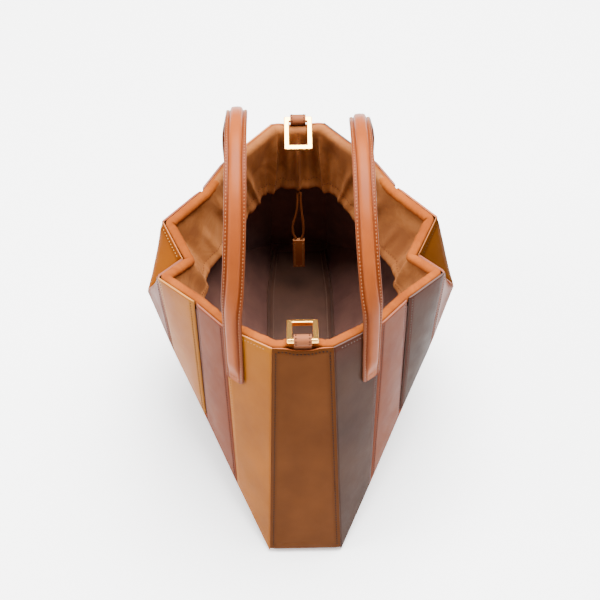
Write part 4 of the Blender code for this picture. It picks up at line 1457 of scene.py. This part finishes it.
def rounded_rectangle(wide, tall, radius, steps):
    """Points round a rectangle with rounded corners, centred, and each point's outward direction."""
    points = []
    for quarter, (sx, sz) in enumerate(((1, 1), (-1, 1), (-1, -1), (1, -1))):
        corner = np.array([sx * (wide / 2 - radius), sz * (tall / 2 - radius)])
        for k in range(steps + 1):
            a = math.pi / 2 * (quarter + k / steps)
            ray = np.array([math.cos(a), math.sin(a)])
            points.append((corner + ray * radius, ray))
    return points


def ring_piece(label):
    """The ring as a rectangle of bar with almost sharp inner corners, leaning from its hinge axis."""
    pivot, _, turn = PIVOTS[label]
    spin = np.array(Matrix.Rotation(turn, 3, "X"))
    outer = rounded_rectangle(RING_WIDTH, RING_HEIGHT, RING_ROUND, 5)
    inner = rounded_rectangle(RING_WIDTH - 2 * RING_BAR, RING_HEIGHT - 2 * RING_BAR, INNER_ROUND, 5)
    rings = []
    for (far_place, _), (near_place, _) in zip(outer, inner):
        section = []
        for (along, across), _ in rounded_rectangle(RING_BAR, RING_THICK, BAR_ROUND, 4):
            share = along / RING_BAR + 0.5
            flat = near_place * (1 - share) + far_place * share
            local = np.array([flat[0], across, flat[1] + (RING_HEIGHT - RING_BAR) / 2])
            section.append(np.array(pivot) + spin @ local)
        rings.append(section)
    obj = closed_loft(f"ring_{label}_bar", rings, GOLD)
    shade(obj, 40.0)
    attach(obj, f"ring_{label}_body")
    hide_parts(f"ring_{label}")


def loop_piece(label):
    """A strap folded round the ring's bar, its two tails together behind the end panel."""
    pivot, foot, _ = PIVOTS[label]
    pivot, foot = np.array(pivot), np.array(foot)
    radius = math.hypot(RING_THICK, RING_BAR) / 2 + GAP
    toward = unit(foot - pivot)
    across = np.cross(np.array([1.0, 0.0, 0.0]), toward)
    tail = float(np.linalg.norm(foot - pivot))
    run = tail - radius - LOOP_WALL - TAIL_FROM
    outline = []
    for k in range(8):
        outline.append(pivot + toward * (tail - run * k / 7) + across * TAIL_APART)
    for k in range(25):
        a = LOOP_OPENING + (2 * math.pi - 2 * LOOP_OPENING) * k / 24
        outline.append(pivot + (toward * math.cos(a) + across * math.sin(a)) * (radius + LOOP_WALL))
    for k in range(8):
        outline.append(pivot + toward * (radius + LOOP_WALL + TAIL_FROM + run * k / 7) - across * TAIL_APART)
    obj, column, row = flat_grid(f"ring_loop_{label}_strap", 13, len(outline))
    points = np.empty((len(column), 3))
    for k, (i, j) in enumerate(zip(column, row)):
        side = -1 + 2 * i / 12
        points[k] = outline[j] + np.array([side * LOOP_HALF, 0.0, 0.0])
    lay_points(obj, points)
    give_materials(obj, LOOP, PAINT["mauve"])
    mend(obj)
    thicken(obj, LOOP_LEATHER, rim=1)
    shade(obj, 50.0)
    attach(obj, "bag")
    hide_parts(f"ring_loop_{label}")
    seam = []
    for way in (-1, 1):
        line = []
        for k in range(9, 30):
            out = unit(outline[k] - pivot)
            beside = np.array([way * (LOOP_HALF - LOOP_SEAM_IN), 0.0, 0.0])
            line.append((outline[k] + beside + out * 0.1, out))
        seam.append(line)
    return seam


loop_seams = []
for label in PIVOTS:
    ring_piece(label)
    loop_seams += loop_piece(label)
stitched("ring_loop_stitches", loop_seams, THREAD["mauve"])
print("rings and loops made")

# %% [markdown]
# ## Draw cord and its tab
# A round leather cord comes out of the collar's hem at the back, and both strands end in a sewn tab.
# The cord's path is the CAD route, from the hem down one strand, through the tab and back up the other.

# %% Draw cord and tab
CORD_RADIUS = 1.3
CORD_ROUTE = (
    # x, y, z, from the hem down through the tab and back
    (-0.1, 130.6, 158.6),
    (-1.4, 130.2, 156.0),
    (-1.6, 128.4, 144.0),
    (-3.4, 126.6, 129.0),
    (-6.8, 125.0, 113.0),
    (-6.4, 124.2, 101.0),
    (-3.4, 124.0, 93.0),
    (-2.6, 124.0, 86.0),
    (-0.6, 124.0, 83.6),
    (1.4, 124.0, 86.0),
    (2.2, 124.0, 93.0),
    (4.2, 124.2, 101.0),
    (4.6, 125.0, 113.0),
    (3.2, 126.6, 129.0),
    (2.0, 128.4, 144.0),
    (1.9, 130.2, 156.0),
    (0.5, 130.6, 158.6),
)


def spline_points(rows, parts):
    """Points on a smooth curve through the rows."""
    given = [np.array(row, float) for row in rows]
    given = [2 * given[0] - given[1], *given, 2 * given[-1] - given[-2]]
    found = []
    for k in range(1, len(given) - 2):
        a, b, c, d = given[k - 1 : k + 3]
        for j in range(parts):
            found.append(curve_between(a, b, c, d, j / parts))
    found.append(given[-2])
    return found


def swept(name, rows, section, material):
    """A section of (across, out) pairs carried along rows of centre, across and out, with closed ends."""
    obj, column, row = flat_grid(name, len(section) + 1, len(rows))
    points = np.empty((len(column), 3))
    for k, (i, j) in enumerate(zip(column, row)):
        centre, across, out = rows[j]
        wide, level = section[i % len(section)]
        points[k] = centre + across * wide + out * level
    lay_points(obj, points)
    mend(obj, merge=0.00002, fill=True)
    give_materials(obj, material)
    shade(obj, 50.0)
    return obj


route = spline_points(CORD_ROUTE, 5)
cord_rows = []
out = np.array([0.0, -1.0, 0.0])
for k, place in enumerate(route):
    along = heading(route, k)
    out = unit(out - along * (out @ along))
    cord_rows.append((place, np.cross(out, along), out))
turns = [2 * math.pi * k / 12 for k in range(12)]
around_cord = [(CORD_RADIUS * math.cos(turn), CORD_RADIUS * math.sin(turn)) for turn in turns]
cord = swept("draw_cord_leather", cord_rows, around_cord, CORD)
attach(cord, "bag")
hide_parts("draw_cord")

TAB_SIZE = np.array([13.0, 4.4, 44.0])
TAB_TOP = np.array([-0.6, 124.0, 93.0 - 2 * GAP])
bpy.ops.object.select_all(action="DESELECT")
bpy.ops.mesh.primitive_cube_add(size=1)
tab = bpy.context.object
tab.name = "cord_tab_leather"
for vertex in tab.data.vertices:
    shaped = TAB_TOP + (np.array(vertex.co) - np.array([0.0, 0.0, 0.5])) * TAB_SIZE
    vertex.co = Vector(world(shaped))
give_materials(tab, TAB, PAINT["tan"])
for face in tab.data.polygons:
    face.material_index = int(abs(face.normal.y) < 0.5)
round_edges(tab, 0.7, 3)
shade(tab)
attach(tab, "bag")
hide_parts("cord_tab")
tab_line = []
for x, drop in ((-4.5, 3.0), (-4.5, 41.5), (4.5, 41.5), (4.5, 3.0)):
    place = TAB_TOP + np.array([x, -TAB_SIZE[1] / 2 - 0.1, -drop])
    tab_line.append((place, np.array([0.0, -1.0, 0.0])))
tab_stitches = stitched("cord_tab_stitches", [tab_line[i : i + 2] for i in range(3)], THREAD["tan"])

# %% [markdown]
# ## Stage, light and camera
# The bag stands on a pale floor that fills the picture, under a wide soft light above and a little behind.
# A weaker light from the left and a faint one from the right soften the shadows.
# The camera repeats the photo's: high in front, looking down at fifty degrees.

# %% Stage, light and camera
bpy.ops.object.select_all(action="DESELECT")
bpy.ops.mesh.primitive_plane_add(size=9.0, location=(0, 0, -0.0002))
floor = bpy.context.object
floor.name = "studio_floor"
paper, tree, shader, place = new_material("pale studio paper")
shader.inputs["Base Color"].default_value = (*linear("#FAFAFA"), 1.0)
shader.inputs["Roughness"].default_value = 0.9
shader.inputs["Emission Color"].default_value = (1.0, 1.0, 1.0, 1.0)
shader.inputs["Emission Strength"].default_value = 0.6
floor.data.materials.append(paper)
floor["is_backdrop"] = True


def soft_light(name, place, size, power, colour):
    """A square soft box that faces the bag: its side in metres and its power in watts."""
    bpy.ops.object.light_add(type="AREA", location=place)
    light = bpy.context.object
    light.name = name
    light.data.shape = "SQUARE"
    light.data.size = size
    light.data.energy = power
    light.data.color = linear(colour)
    light.rotation_euler = (Vector((0, 0, 0.15)) - Vector(place)).to_track_quat("-Z", "Y").to_euler()


soft_light("top_light", (0.25, 0.4, 2.3), 2.0, 370.0, "#FFFFFF")
soft_light("left_light", (-1.9, -0.2, 1.2), 1.2, 62.0, "#FFFFFF")
soft_light("right_light", (2.1, -0.3, 1.3), 1.4, 2.0, "#FFFFFF")
world_node = bpy.data.worlds.new("studio")
world_node.use_nodes = True
background = world_node.node_tree.nodes["Background"]
background.inputs["Color"].default_value = (1.0, 1.0, 1.0, 1.0)
background.inputs["Strength"].default_value = 0.5
bpy.context.scene.world = world_node

PITCH = 0.87967
YAW = -0.00815
ROLL = 0.01074
CAMERA_PLACE = (-0.00765, -0.82578, 1.14092)
back = np.array([math.sin(YAW) * math.cos(PITCH), -math.cos(YAW) * math.cos(PITCH), math.sin(PITCH)])
right = np.array([math.cos(YAW), math.sin(YAW), 0.0])
upright = np.cross(back, right)
camera_x = right * math.cos(ROLL) - upright * math.sin(ROLL)
camera_y = right * math.sin(ROLL) + upright * math.cos(ROLL)
turn = Matrix((camera_x, camera_y, back)).transposed().to_4x4()
camera_data = bpy.data.cameras.new("photo_camera")
camera_data.lens = 77.62
camera_data.sensor_width = 36.0
camera_data.clip_end = 20.0
camera = bpy.data.objects.new("photo_camera", camera_data)
bpy.context.scene.collection.objects.link(camera)
camera.matrix_world = Matrix.Translation(CAMERA_PLACE) @ turn
bpy.context.scene.camera = camera
print("stage, light and camera made")

# %% [markdown]
# ## Scene box
# The box of the finished pieces is printed.

# %% Finish
low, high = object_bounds()
print("scene box:", [round(v, 3) for v in low], [round(v, 3) for v in high])
